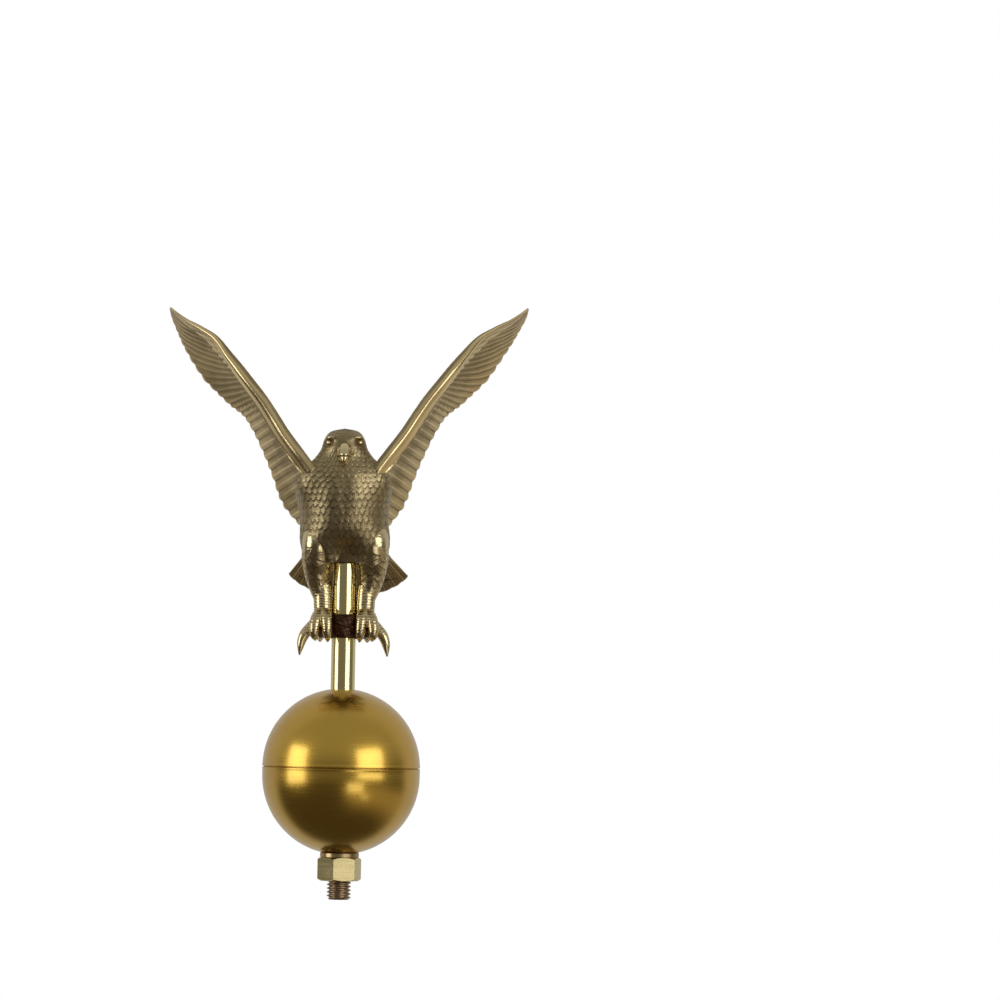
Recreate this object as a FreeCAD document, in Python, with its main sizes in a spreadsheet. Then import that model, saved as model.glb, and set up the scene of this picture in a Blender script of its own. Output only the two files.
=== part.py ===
import FreeCAD, Part

import math
import os
import re

import Sketcher

# Flagpole finial: a cast eagle on a polished spindle, over a spun ball that a nut holds from below.
#
# Frame: millimetres, +Z up, origin on the spindle's axis in the plane of the nut's lower seating face.
# The eagle faces -Y, so +X is the bird's own left. Everything below Z = 0 is the threaded stub that
# screws into the pole's truck.

DIMENSIONS = {
    # spindle, half-inch stock
    "rod_radius": 6.35,
    "thread_radius": 6.10,
    "stub_length": 9.9,
    "stub_chamfer": 1.0,
    "seat_relief": 0.4,
    "lower_thread_top": 32.0,
    "spindle_top": 204.0,
    # nut and cup washer under the ball
    "nut_across": 20.6,
    "nut_height": 12.5,
    "nut_bore": 6.40,
    "nut_turn": 13.4,
    "cup_radius": 10.3,
    "cup_bore": 6.65,
    "cup_centre": 1.35,
    "seat_gap": 0.15,
    # ball, two spun halves
    "ball_radius": 41.65,
    "ball_wall": 1.0,
    "ball_band": 4.4,
    "lip_rise": 3.0,
    "lip_wall": 0.9,
    "lip_gap": 0.15,
    "hole_radius": 6.9,
    # hardware inside the ball
    "inner_nut_across": 19.05,
    "inner_nut_height": 11.0,
    "inner_washer_radius": 11.0,
    "inner_washer_top": 17.4,
    "bush_radius": 9.0,
    "bush_height": 4.0,
    # eagle: trunk and head
    "belly": 168.0,
    "crown": 238.6,
    "trunk_half_width": 22.8,
    "trunk_half_depth": 21.0,
    "recess_radius": 12.5,
    "recess_depth": 14.0,
    "lock_nut_height": 8.0,
    "lock_washer_height": 0.8,
    "beak_reach": 12.5,
    "beak_root_radius": 5.25,
    "beak_tip_radius": 1.0,
    "beak_y": -18.5,
    "beak_drop": 9.0,
    "back_pad": 18.0,
    # wings
    "wing_length": 117.0,
    "wing_chord": 47.0,
    "wing_thick": 8.4,
    "shoulder_x": 14.0,
    "shoulder_z": 220.0,
    "tenon_radius": 3.5,
    "tenon_inner": 12.0,
    "tenon_outer": 22.0,
    "tenon_y": 3.0,
    "tenon_z": 211.0,
    "dowel_radius": 1.25,
    "dowel_inner": 9.0,
    "dowel_outer": 18.5,
    "dowel_y": 13.0,
    "dowel_z": 204.5,
    "grub_x": 15.0,
    "grub_length": 4.2,
    "grub_radius": 2.0,
    # tail
    "tail_length": 42.0,
    "tail_root_half": 18.0,
    "tail_corner_half": 32.5,
    "tail_corner_run": 21.0,
    "tail_thick": 3.0,
    "tail_root_y": 19.5,
    "tail_root_z": 177.0,
    "flange_half": 10.0,
    "flange_top": 190.0,
    "tail_screw_radius": 1.75,
    "tail_screw_x": 6.0,
    "tail_screw_z": 184.0,
    "tail_screw_tip": 13.5,
    "tail_head_radius": 3.15,
    "tail_head_height": 2.3,
    # legs and perch
    "perch_z": 134.5,
    "perch_radius": 6.4,
    "perch_half": 13.5,
    "hub_radius": 10.0,
    "hub_half": 6.5,
    "leg_x": 11.3,
    "leg_y": -1.0,
    "spigot_radius": 2.6,
    "spigot_x": 16.6,
    "spigot_y": 1.0,
    "spigot_height": 9.0,
    "leg_pin_radius": 1.25,
    "leg_pin_front": -2.5,
    "leg_pin_back": 14.5,
    "foot_screw_radius": 1.5,
    "foot_screw_x": 11.7,
    "foot_screw_length": 18.0,
    "foot_screw_sink": 0.0,
    # tools that only cut: longer or wider than what they pass through
    "drill": 200.0,
    "block": 60.0,
}

WING_RISE = 50.0     # degrees above the horizon
TAIL_FALL = 40.0     # degrees below the horizon
BEAK_TURN = 120.0    # degrees from straight up, towards -Y
NUT_FACE_SHARE = 0.485     # radius of a nut's round end face over its width across the flats
NUT_BEVEL_SHARE = 0.06     # height of a nut's corner chamfer over the same width
EDGE_ROLL = 1.2      # how much of its own thickness a wing section's round edges take from the chord

# Trunk stations: (height above the belly over the whole height, forward shift in mm, width share,
# depth share). The sections are ellipses that are at least as wide as deep.
TRUNK = [
    (0.000, 4.0, 0.93, 0.80), (0.09, 3.2, 0.96, 0.86), (0.22, 2.0, 0.98, 0.95),
    (0.40, -1.0, 1.00, 1.00), (0.56, -4.0, 0.99, 0.96), (0.67, -6.0, 0.90, 0.86),
    (0.76, -8.5, 0.70, 0.72), (0.84, -10.5, 0.56, 0.60), (0.91, -12.0, 0.50, 0.54),
    (0.965, -13.0, 0.37, 0.40), (1.000, -13.4, 0.15, 0.16),
]

# Wing stations: (share of the wing's length, upper edge, lower edge, front edge, back edge, thickness
# share). The edges are in mm from the shoulder: across the wing as seen from the front, and in Y.
WING = [
    (-0.145, 20.0, 27.4, 15.0, 34.0, 0.30), (-0.060, 7.0, 26.5, -6.0, 37.0, 0.85),
    (0.070, 1.6, 22.4, -11.0, 37.5, 1.00), (0.190, 2.0, 18.9, -12.5, 37.0, 0.95),
    (0.310, 0.2, 16.2, -13.0, 36.0, 0.85), (0.430, -1.2, 14.8, -12.5, 35.0, 0.80),
    (0.530, -1.8, 16.4, -11.0, 35.0, 0.75), (0.630, -2.6, 18.8, -8.5, 36.0, 0.62),
    (0.740, -2.0, 17.2, -4.5, 36.5, 0.50), (0.830, 0.8, 15.4, 1.0, 35.5, 0.40),
    (0.910, 4.6, 13.4, 8.0, 32.0, 0.30), (0.965, 7.0, 11.4, 14.0, 27.5, 0.22),
    (1.000, 8.2, 9.4, 18.5, 22.0, 0.12),
]

# Leg stations: (height, X, Y, half width, half depth), from the thigh down to the ankle.
LEG = [
    (168.0, 15.6, 1.0, 6.4, 6.2), (163.0, 15.8, 1.6, 6.0, 5.9), (157.0, 14.4, 0.8, 5.2, 5.1),
    (151.0, 12.6, -0.4, 4.5, 4.4), (146.0, 11.5, -1.0, 4.1, 4.0), (141.0, 11.3, -1.0, 4.3, 4.2),
]

# Toes of the bird's left foot: knuckle and claw tip, in mm from the ankle's centre.
TOES = [
    ((9.0, -3.0, -5.0), (12.6, -5.0, -20.0)),
    ((6.0, -10.5, -3.0), (8.0, -15.5, -15.0)),
    ((-0.6, -11.5, -3.0), (-1.6, -16.5, -13.5)),
    ((3.0, 9.0, -3.5), (4.0, 12.5, -13.0)),
]
ANKLE_Z = 141.0
TOE_ROOT_RADIUS = 2.9
TOE_KNUCKLE_RADIUS = 2.2
CLAW_TIP_RADIUS = 0.35

doc = FreeCAD.newDocument("Finial")
sheet = doc.addObject("Spreadsheet::Sheet", "Dims")
for row, (alias, size) in enumerate(DIMENSIONS.items(), start=1):
    sheet.set(f"A{row}", alias)
    sheet.set(f"B{row}", str(size))
    sheet.setAlias(f"B{row}", alias)
doc.recompute()

pieces = {}


def vector(x=0.0, y=0.0, z=0.0):
    """A FreeCAD vector."""
    return FreeCAD.Vector(x, y, z)


def bound(text):
    """Turns bare dimension names in an expression into references to the sheet."""
    return re.sub(r"[a-z_]+", lambda word: "Dims." + word[0] if word[0] in DIMENSIONS else word[0], text)


def size_of(text):
    """The value of an expression now."""
    return float(sheet.evalExpression(bound(text)))


def bind(thing, **sizes):
    """Binds properties of an object to expressions in the sheet's dimensions."""
    for name, text in sizes.items():
        thing.setExpression(name, bound(text))


def move(thing, x="0", y="0", z="0", turn=None):
    """Turns an object, then binds its position."""
    thing.Placement = FreeCAD.Placement(vector(), turn or FreeCAD.Rotation())
    for axis, text in zip("xyz", (x, y, z)):
        thing.setExpression("Placement.Base." + axis, bound(text))
    return thing


ALONG_X = FreeCAD.Rotation(vector(y=1), 90)
ALONG_Y = FreeCAD.Rotation(vector(x=1), -90)


def cylinder(name, radius, height, x="0", y="0", z="0", turn=None):
    """A cylinder that starts at a point and runs along +Z, or along +X or +Y."""
    thing = doc.addObject("Part::Cylinder", name)
    bind(thing, Radius=radius, Height=height)
    return move(thing, x, y, z, turn)


def box(name, low, high):
    """A box between two corners, given as expressions."""
    thing = doc.addObject("Part::Box", name)
    sides = [f"({top}) - ({bottom})" for bottom, top in zip(low, high)]
    bind(thing, Length=sides[0], Width=sides[1], Height=sides[2])
    return move(thing, *low)


def cone(name, radius_low, radius_high, height, z="0"):
    """A cone frustum along +Z."""
    thing = doc.addObject("Part::Cone", name)
    bind(thing, Radius1=radius_low, Radius2=radius_high, Height=height)
    return move(thing, z=z)


def sphere(name, radius, z):
    """A whole sphere on the spindle's axis."""
    thing = doc.addObject("Part::Sphere", name)
    bind(thing, Radius=radius)
    return move(thing, z=z)


def cut(name, base, tool):
    """One solid less another."""
    thing = doc.addObject("Part::Cut", name)
    thing.Base, thing.Tool = base, tool
    return thing


def common(name, first, second):
    """What two solids share."""
    thing = doc.addObject("Part::Common", name)
    thing.Base, thing.Tool = first, second
    return thing


def fuse(name, *things):
    """Several solids made one."""
    thing = doc.addObject("Part::MultiFuse", name)
    thing.Shapes = list(things)
    thing.Refine = True
    return thing


def group(name, *things):
    """Several separate solids in one object."""
    thing = doc.addObject("Part::Compound", name)
    thing.Links = list(things)
    return thing


def mirror(name, source):
    """A copy on the other side of the plane X = 0."""
    thing = doc.addObject("Part::Mirroring", name)
    thing.Source = source
    thing.Normal = vector(x=1)
    return thing


def keep(label, thing):
    """Names a finished piece."""
    thing.Label = label
    pieces[label] = thing
    return thing


def loft(name, sections):
    """A smooth solid through closed sections."""
    thing = doc.addObject("Part::Loft", name)
    thing.Sections = sections
    thing.Solid = True
    thing.Ruled = False
    return thing


def ellipse(name, major, minor, x, y, z, turn=None):
    """An ellipse whose long axis is its own X."""
    thing = doc.addObject("Part::Ellipse", name)
    bind(thing, MajorRadius=major, MinorRadius=minor)
    return move(thing, x, y, z, turn)


def hex_nut(name, across, height, bore, z):
    """A hex nut with both ends chamfered at the corners, lying on height z."""
    prism = doc.addObject("Part::Prism", name + "_hexagon")
    prism.Polygon = 6
    bind(prism, Circumradius=f"({across}) / sqrt(3)", Height=height)
    move(prism, z=z, turn=FreeCAD.Rotation(vector(z=1), size_of("nut_turn")))
    face, corner = f"({across}) * {NUT_FACE_SHARE}", f"({across}) / sqrt(3)"
    bevel = f"({across}) * {NUT_BEVEL_SHARE}"
    middle = f"({height}) - 2 * {bevel}"
    barrel = fuse(
        name + "_barrel",
        cone(name + "_low", face, corner, bevel, z=z),
        cylinder(name + "_middle", corner, middle, z=f"{z} + {bevel}"),
        cone(name + "_high", corner, face, bevel, z=f"{z} + ({height}) - {bevel}"),
    )
    blank = common(name + "_blank", prism, barrel)
    return cut(name, blank, cylinder(name + "_bore", bore, f"({height}) + 2", z=f"{z} - 1"))


def ring(name, radius, bore, height, z):
    """A plain washer or bush lying on height z."""
    disc = cylinder(name + "_disc", radius, height, z=z)
    return cut(name, disc, cylinder(name + "_hole", bore, f"({height}) + 2", z=f"{z} - 1"))


# ---- spindle -------------------------------------------------------------------------------------

def make_spindle():
    """Half-inch rod: exposed stub below the seat, thread through the ball's foot, shank, upper thread."""
    turned = doc.addObject("PartDesign::Body", "spindle_body")
    plane = next(item for item in turned.Origin.OriginFeatures if item.Role == "XZ_Plane")
    axis = next(item for item in turned.Origin.OriginFeatures if item.Role == "Z_Axis")
    outline = turned.newObject("Sketcher::SketchObject", "spindle_outline")
    outline.AttachmentSupport = [(plane, "")]
    outline.MapMode = "FlatFace"
    corners = [
        ("0", "-stub_length"),
        ("rod_radius - stub_chamfer", "-stub_length"),
        ("rod_radius", "-stub_length + stub_chamfer"),
        ("rod_radius", "-seat_relief"),
        ("thread_radius", "-seat_relief"),
        ("thread_radius", "lower_thread_top"),
        ("rod_radius", "lower_thread_top"),
        ("rod_radius", "belly"),
        ("thread_radius", "belly"),
        ("thread_radius", "spindle_top - stub_chamfer"),
        ("thread_radius - stub_chamfer", "spindle_top"),
        ("0", "spindle_top"),
    ]
    draw_outline(outline, corners)
    rod = turned.newObject("PartDesign::Revolution", "spindle_turning")
    rod.Profile = outline
    rod.ReferenceAxis = (axis, [""])
    rod.Angle = 360
    return keep("spindle", turned)


def draw_outline(outline, corners):
    """Draws a closed outline in a sketch and binds every corner's place."""
    places = [vector(size_of(across), size_of(up)) for across, up in corners]
    for index, place in enumerate(places):
        outline.addGeometry(Part.LineSegment(place, places[(index + 1) % len(places)]), False)
    for index in range(len(places)):
        outline.addConstraint(Sketcher.Constraint("Coincident", index, 2, (index + 1) % len(places), 1))
    for index, (across, up) in enumerate(corners):
        for kind, text in (("DistanceX", across), ("DistanceY", up)):
            number = outline.addConstraint(Sketcher.Constraint(kind, -1, 1, index, 1, size_of(text)))
            outline.setExpression(f"Constraints[{number}]", bound(text))


# ---- nut, washers and ball -----------------------------------------------------------------------

LOWER_CENTRE = "nut_height + cup_centre + ball_radius"
SEAM = "nut_height + cup_centre + ball_radius + ball_band"


def make_nut_and_cup():
    """The nut under the ball and the dished washer on it."""
    keep("spindle_nut", hex_nut("outer_nut", "nut_across", "nut_height", "nut_bore", "0"))
    blank = ring("cup_blank", "cup_radius", "cup_bore", "cup_centre * 2", "nut_height")
    dish = sphere("cup_dish", "ball_radius + seat_gap", LOWER_CENTRE)
    keep("ball_cup_washer", cut("cup", blank, dish))


def make_ball():
    """Two spun halves: the lower one has a straight band and a lip that the upper one sits over."""
    inner = "ball_radius - ball_wall"
    below = box("under_seam", ("-block", "-block", "0"), ("block", "block", LOWER_CENTRE))
    bowl = common("bowl", sphere("bowl_outside", "ball_radius", LOWER_CENTRE), below)
    hollow = fuse(
        "bowl_hollow",
        sphere("bowl_inside", inner, LOWER_CENTRE),
        cylinder("band_inside", inner, "ball_band + 10", z=LOWER_CENTRE),
    )
    band = cylinder("band", "ball_radius", "ball_band", z=LOWER_CENTRE)
    shell = cut("lower_half", fuse("lower_outside", bowl, band), hollow)
    lip_outer = "ball_radius - ball_wall - lip_gap"
    lip = fuse(
        "lip_blank",
        cylinder("lip_foot", "ball_radius - ball_wall / 2", "2", z=f"{SEAM} - 2"),
        cylinder("lip_top", lip_outer, "lip_rise + 2", z=f"{SEAM} - 2"),
    )
    lip_ring = cut("lip", lip, cylinder("lip_hole", f"{lip_outer} - lip_wall", "drill"))
    joined = fuse("lower_joined", shell, lip_ring)
    keep("ball_lower_shell", cut("lower_shell", joined, cylinder("lower_hole", "hole_radius", "drill")))

    above = box("over_seam", ("-block", "-block", SEAM), ("block", "block", f"{SEAM} + block"))
    cap = common("cap", sphere("cap_outside", "ball_radius", SEAM), above)
    dome = cut("dome", cap, sphere("cap_inside", inner, SEAM))
    keep("ball_upper_shell", cut("upper_shell", dome, cylinder("upper_hole", "hole_radius", "drill", z=SEAM)))


def make_ball_hardware():
    """The clamp inside the lower half and the bush in the top hole."""
    bearing = sphere("washer_bearing", "ball_radius - ball_wall", LOWER_CENTRE)
    blank = ring("inner_blank", "inner_washer_radius", "cup_bore", "inner_washer_top - 13", "13")
    keep("ball_inner_washer", common("inner_washer", blank, bearing))
    keep("ball_inner_nut", hex_nut(
        "inner_nut", "inner_nut_across", "inner_nut_height", "thread_radius", "inner_washer_top"))
    ceiling = f"{SEAM} + sqrt((ball_radius - ball_wall)^2 - bush_radius^2)"
    crown = f"{SEAM} + sqrt(ball_radius^2 - hole_radius^2)"
    flange = cylinder("bush_flange", "bush_radius", "bush_height", z=f"{ceiling} - bush_height")
    neck = cylinder("bush_neck", "hole_radius", f"{crown} - ({ceiling}) + 1", z=f"{ceiling} - 1")
    bush = fuse("bush_blank", flange, neck)
    keep("ball_top_grommet", cut("bush", bush, cylinder("bush_bore", "rod_radius", "drill")))


# ---- eagle ---------------------------------------------------------------------------------------

def make_trunk_outside():
    """Trunk, neck and head as one smooth form."""
    sections = []
    for index, (share, shift, width, depth) in enumerate(TRUNK):
        sections.append(ellipse(
            f"trunk_{index}", f"trunk_half_width * {width}", f"trunk_half_depth * {depth}",
            "0", f"{shift}", f"belly + (crown - belly) * {share}"))
    return loft("trunk", sections)


def make_beak():
    """Hooked beak: a cone tipped forward and down from the face."""
    beak = doc.addObject("Part::Cone", "beak")
    bind(beak, Radius1="beak_root_radius", Radius2="beak_tip_radius", Height="beak_reach")
    return move(beak, y="beak_y", z="crown - beak_drop", turn=FreeCAD.Rotation(vector(x=1), BEAK_TURN))


def make_eagle_body(outside, spigots, leg_pins, tenons, dowels, grubs, tail_screws):
    """The trunk casting with its recess, the spindle's boss, sockets and screw holes."""
    casting = fuse("eagle_casting", outside, make_beak())
    pad = box("back_relief", ("-block", "back_pad", "belly - 5"), ("block", "block", "flange_top + 1"))
    recess = cylinder("recess", "recess_radius", "recess_depth + 5", z="belly - 5")
    bore = cylinder("eagle_bore", "thread_radius", "spindle_top - belly + 0.5", z="belly")
    sockets = [*spigots, *leg_pins, *tenons, *dowels, *grubs, *tail_screws]
    holes = fuse("eagle_holes", pad, recess, bore, *sockets)
    keep("eagle_body", cut("eagle", casting, holes))


def make_lock_hardware():
    """The thin nut and washer that lock the spindle in the recess."""
    ceiling = "belly + recess_depth"
    keep("eagle_lock_washer", ring(
        "lock_washer", "recess_radius - 1", "thread_radius + 0.3", "lock_washer_height",
        f"{ceiling} - lock_washer_height"))
    keep("eagle_lock_nut", hex_nut(
        "lock_nut", "inner_nut_across", "lock_nut_height", "thread_radius",
        f"{ceiling} - lock_washer_height - lock_nut_height"))


def make_wings(outside, tenon, dowel):
    """A blade lofted from the root to the tip, coped to the trunk, with a round tenon."""
    rise = math.radians(WING_RISE)
    span = vector(math.cos(rise), 0, math.sin(rise))
    across = vector(math.sin(rise), 0, -math.cos(rise))
    sections = []
    for index, (share, upper, lower, front, back, thick) in enumerate(WING):
        half_thick = f"wing_thick * {thick} / 2"
        roll = size_of(half_thick)
        chord = across * (lower - upper - EDGE_ROLL * roll) + vector(y=back - front)
        middle = (upper + lower + EDGE_ROLL / 2 * roll) / 2
        chord_axis = vector(*chord).normalize()
        turn = FreeCAD.Rotation(chord_axis, span.cross(chord_axis), span, "XYZ")
        along = f"wing_length * {share}"
        sections.append(ellipse(
            f"wing_{index}", f"wing_chord * {chord.Length / size_of('wing_chord') / 2:.4f}", half_thick,
            f"shoulder_x + {along} * {span.x:.5f} + {middle * across.x:.3f}",
            f"{(front + back) / 2:.3f}",
            f"shoulder_z + {along} * {span.z:.5f} + {middle * across.z:.3f}", turn))
    blade = cut("wing_blade", loft("wing_loft", sections), outside)
    wing = cut("wing_drilled", fuse("wing_whole", blade, tenon), dowel)
    keep("left_wing", wing)
    keep("right_wing", mirror("wing_mirror", wing))


def make_tail(screws):
    """A flat fan that slopes down from a flange on the back pad."""
    fan = doc.addObject("PartDesign::Body", "tail_plate")
    plane = next(item for item in fan.Origin.OriginFeatures if item.Role == "XY_Plane")
    outline = fan.newObject("Sketcher::SketchObject", "tail_outline")
    outline.AttachmentSupport = [(plane, "")]
    outline.MapMode = "FlatFace"
    root, half, run, reach = (size_of(name) for name in (
        "tail_root_half", "tail_corner_half", "tail_corner_run", "tail_length"))
    corners = [vector(-root, 0), vector(root, 0), vector(half, run), vector(-half, run)]
    for start, end in ((0, 1), (1, 2)):
        outline.addGeometry(Part.LineSegment(corners[start], corners[end]), False)
    outline.addGeometry(Part.Arc(corners[2], vector(0, reach), corners[3]), False)
    outline.addGeometry(Part.LineSegment(corners[3], corners[0]), False)
    for index in range(4):
        outline.addConstraint(Sketcher.Constraint("Coincident", index, 2, (index + 1) % 4, 1))
    places = [("-tail_root_half", "0"), ("tail_root_half", "0"),
              ("tail_corner_half", "tail_corner_run"), ("-tail_corner_half", "tail_corner_run")]
    for index, (side, up) in enumerate(places):
        for kind, text in (("DistanceX", side), ("DistanceY", up)):
            number = outline.addConstraint(Sketcher.Constraint(kind, -1, 1, index, 1, size_of(text)))
            outline.setExpression(f"Constraints[{number}]", bound(text))
    depth = "(tail_length - tail_corner_run)"
    number = outline.addConstraint(Sketcher.Constraint("Radius", 2, outline.Geometry[2].Radius))
    outline.setExpression(
        f"Constraints[{number}]", bound(f"(tail_corner_half^2 + {depth}^2) / (2 * {depth})"))
    pad = fan.newObject("PartDesign::Pad", "tail_pad")
    pad.Profile = outline
    bind(pad, Length="tail_thick")
    move(fan, y="tail_root_y", z="tail_root_z", turn=FreeCAD.Rotation(vector(x=1), -TAIL_FALL))
    flange = box("tail_flange", ("-flange_half", "back_pad", "tail_root_z - 2"),
                 ("flange_half", "back_pad + tail_thick", "flange_top"))
    front = box("tail_front", ("-block", "-block", "perch_z"), ("block", "back_pad", "spindle_top"))
    joined = fuse("tail_joined", fan, flange)
    keep("tail_fan", cut("tail", cut("tail_trimmed", joined, front), fuse("tail_holes", *screws)))


def cone_between(name, start, end, radius_start, radius_end):
    """A cone frustum from one point to another."""
    run = end - start
    thing = doc.addObject("Part::Cone", name)
    thing.Radius1, thing.Radius2, thing.Height = radius_start, radius_end, run.Length
    thing.Placement = FreeCAD.Placement(start, FreeCAD.Rotation(vector(z=1), run))
    return thing


def make_perch(foot_screws, grub):
    """Cross piece with a hub: returns its outside, for the feet to be coped to."""
    bar = cylinder("perch_bar", "perch_radius", "perch_half * 2", x="-perch_half", z="perch_z", turn=ALONG_X)
    hub = cylinder("perch_hub", "hub_radius", "hub_half * 2", z="perch_z - hub_half")
    outside = fuse("perch_outside", bar, hub)
    bore = cylinder("perch_bore", "rod_radius", "drill")
    keep("perch_collar", cut("perch", outside, fuse("perch_holes", bore, grub, *foot_screws)))
    return outside


def make_legs(perch_outside, spigot, foot_screw, leg_pin):
    """Thigh, shank and foot with four clawed toes, standing on the perch."""
    sections = [
        ellipse(f"leg_{index}", f"{half_width}", f"{half_depth}", f"{x}", f"{y}", f"{height}")
        for index, (height, x, y, half_width, half_depth) in enumerate(LEG)
    ]
    ankle = vector(size_of("leg_x"), size_of("leg_y"), ANKLE_Z)
    foot = [cone_between("foot_pad", ankle - vector(z=4), ankle + vector(z=1), 5.4, 4.2)]
    for index, (knuckle, tip) in enumerate(TOES):
        middle = ankle + vector(*knuckle)
        foot.append(cone_between(f"toe_{index}", ankle, middle, TOE_ROOT_RADIUS, TOE_KNUCKLE_RADIUS))
        point = ankle + vector(*tip)
        foot.append(cone_between(f"claw_{index}", middle, point, TOE_KNUCKLE_RADIUS, CLAW_TIP_RADIUS))
        knob = doc.addObject("Part::Sphere", f"knuckle_{index}")
        knob.Radius = TOE_KNUCKLE_RADIUS
        knob.Placement = FreeCAD.Placement(middle, FreeCAD.Rotation())
        foot.append(knob)
    solid = fuse("leg_solid", loft("leg_loft", sections), *foot)
    clear = cylinder("rod_clearance", "rod_radius + 0.3", "drill")
    coped = cut("leg_coped", solid, fuse("leg_tools", perch_outside, clear, foot_screw))
    leg = cut("leg_drilled", fuse("leg_whole", coped, spigot), leg_pin)
    keep("left_leg", leg)
    keep("right_leg", mirror("leg_mirror", leg))


# ---- assembly ------------------------------------------------------------------------------------

def pair(name, build):
    """The same small part on both sides, built by a function of the side's sign."""
    return [build(f"{name}_{side}", sign) for side, sign in (("left", "1"), ("right", "-1"))]


make_spindle()
make_nut_and_cup()
make_ball()
make_ball_hardware()

spigots = pair("spigot", lambda name, sign: cylinder(
    name, "spigot_radius", "spigot_height + 2", x=f"{sign} * spigot_x", y="spigot_y", z="belly - 2"))
leg_pins = pair("leg_pin", lambda name, sign: cylinder(
    name, "leg_pin_radius", "leg_pin_back - leg_pin_front", x=f"{sign} * spigot_x", y="leg_pin_front",
    z="belly + spigot_height / 2", turn=ALONG_Y))
tenons = [
    cylinder("tenon_" + side, "tenon_radius", "tenon_outer - tenon_inner", x=start, y="tenon_y", z="tenon_z",
             turn=ALONG_X)
    for side, start in (("left", "tenon_inner"), ("right", "-tenon_outer"))
]
dowels = [
    cylinder("dowel_" + side, "dowel_radius", "dowel_outer - dowel_inner", x=start, y="dowel_y", z="dowel_z",
             turn=ALONG_X)
    for side, start in (("left", "dowel_inner"), ("right", "-dowel_outer"))
]
grubs = pair("wing_grub", lambda name, sign: cylinder(
    name, "grub_radius", "grub_length", x=f"{sign} * grub_x", y="tenon_y + tenon_radius", z="tenon_z",
    turn=ALONG_Y))
grub_holes = pair("grub_hole", lambda name, sign: cylinder(
    name, "grub_radius", "drill", x=f"{sign} * grub_x", y="tenon_y + 2", z="tenon_z", turn=ALONG_Y))
tail_shanks = pair("tail_shank", lambda name, sign: cylinder(
    name, "tail_screw_radius", "back_pad + tail_thick - tail_screw_tip", x=f"{sign} * tail_screw_x",
    y="tail_screw_tip", z="tail_screw_z", turn=ALONG_Y))
tail_heads = pair("tail_head", lambda name, sign: cylinder(
    name, "tail_head_radius", "tail_head_height", x=f"{sign} * tail_screw_x", y="back_pad + tail_thick",
    z="tail_screw_z", turn=ALONG_Y))
foot_screws = pair("foot_screw", lambda name, sign: cylinder(
    name, "foot_screw_radius", "foot_screw_length", x=f"{sign} * foot_screw_x", y="leg_y",
    z="perch_z - perch_radius - foot_screw_sink"))
perch_grub = cylinder(
    "perch_grub", "grub_radius", "hub_radius - rod_radius - 0.1", y="rod_radius", z="perch_z", turn=ALONG_Y)
perch_grub_hole = cylinder(
    "perch_grub_hole", "grub_radius", "drill", y="rod_radius - 1", z="perch_z", turn=ALONG_Y)

trunk_outside = make_trunk_outside()
make_eagle_body(trunk_outside, spigots, leg_pins, tenons, dowels, grub_holes, tail_shanks)
make_lock_hardware()
make_wings(trunk_outside, tenons[0], dowels[0])
make_tail(tail_shanks)
perch_outside = make_perch(foot_screws, perch_grub_hole)
left_spigot = cylinder(
    "left_spigot", "spigot_radius", "spigot_height", x="spigot_x", y="spigot_y", z="belly")
make_legs(perch_outside, left_spigot, foot_screws[0], leg_pins[0])

tail_screws = [fuse(f"tail_screw_{side}", shank, head)
               for side, shank, head in zip(("left", "right"), tail_shanks, tail_heads)]
keep("wing_dowels", group("dowel_pair", *dowels))
keep("wing_set_screws", group("wing_grub_pair", *grubs))
keep("leg_pins", group("leg_pin_pair", *leg_pins))
keep("tail_screws", group("tail_screw_pair", *tail_screws))
keep("foot_screws", group("foot_screw_pair", *foot_screws))
keep("perch_set_screw", perch_grub)

doc.recompute()
for thing in doc.Objects:
    if "Invalid" in thing.State or "Error" in thing.State:
        raise RuntimeError(f"{thing.Name} did not build: {thing.State}")

os.makedirs("parts", exist_ok=True)
for label, thing in pieces.items():
    if thing.Shape.isNull() or not thing.Shape.isValid():
        raise RuntimeError(f"{label} has no valid shape")
    thing.Shape.exportStep(f"parts/{label}.step")
    print(f"{label}: {len(thing.Shape.Solids)} solid(s), {thing.Shape.Volume:.0f} mm3")
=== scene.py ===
"""Looks of the flagpole finial: a cast eagle on a polished spindle above a gold spun ball.

Lengths in the classes are millimetres in the part's own frame (+Z up, the eagle faces -Y, the origin
on the spindle's axis at the nut's lower face). They become metres where a mesh is made.
"""

import logging
import math
from dataclasses import dataclass
from enum import Enum
from typing import Callable, Sequence

import bpy
import numpy as np
from mathutils import Matrix, Vector


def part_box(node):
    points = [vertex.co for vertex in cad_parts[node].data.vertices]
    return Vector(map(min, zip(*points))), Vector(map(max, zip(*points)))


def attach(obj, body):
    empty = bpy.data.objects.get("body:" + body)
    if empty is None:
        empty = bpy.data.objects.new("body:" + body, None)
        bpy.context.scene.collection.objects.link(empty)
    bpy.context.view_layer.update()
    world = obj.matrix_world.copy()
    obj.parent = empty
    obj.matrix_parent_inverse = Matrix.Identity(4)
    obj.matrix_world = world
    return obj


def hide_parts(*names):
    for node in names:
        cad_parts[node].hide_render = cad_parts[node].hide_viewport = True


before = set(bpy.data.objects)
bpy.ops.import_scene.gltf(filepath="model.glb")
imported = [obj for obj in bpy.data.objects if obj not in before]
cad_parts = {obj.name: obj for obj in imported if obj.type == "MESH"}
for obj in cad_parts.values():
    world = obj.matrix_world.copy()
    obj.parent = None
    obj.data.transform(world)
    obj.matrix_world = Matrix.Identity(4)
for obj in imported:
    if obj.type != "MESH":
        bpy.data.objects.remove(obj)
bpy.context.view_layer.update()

LOG = logging.getLogger("finial")
MM = 0.001
TURN = 2.0 * math.pi
RELIEF = "relief"
Point = tuple[float, float, float]
Colour = tuple[float, float, float]


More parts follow.
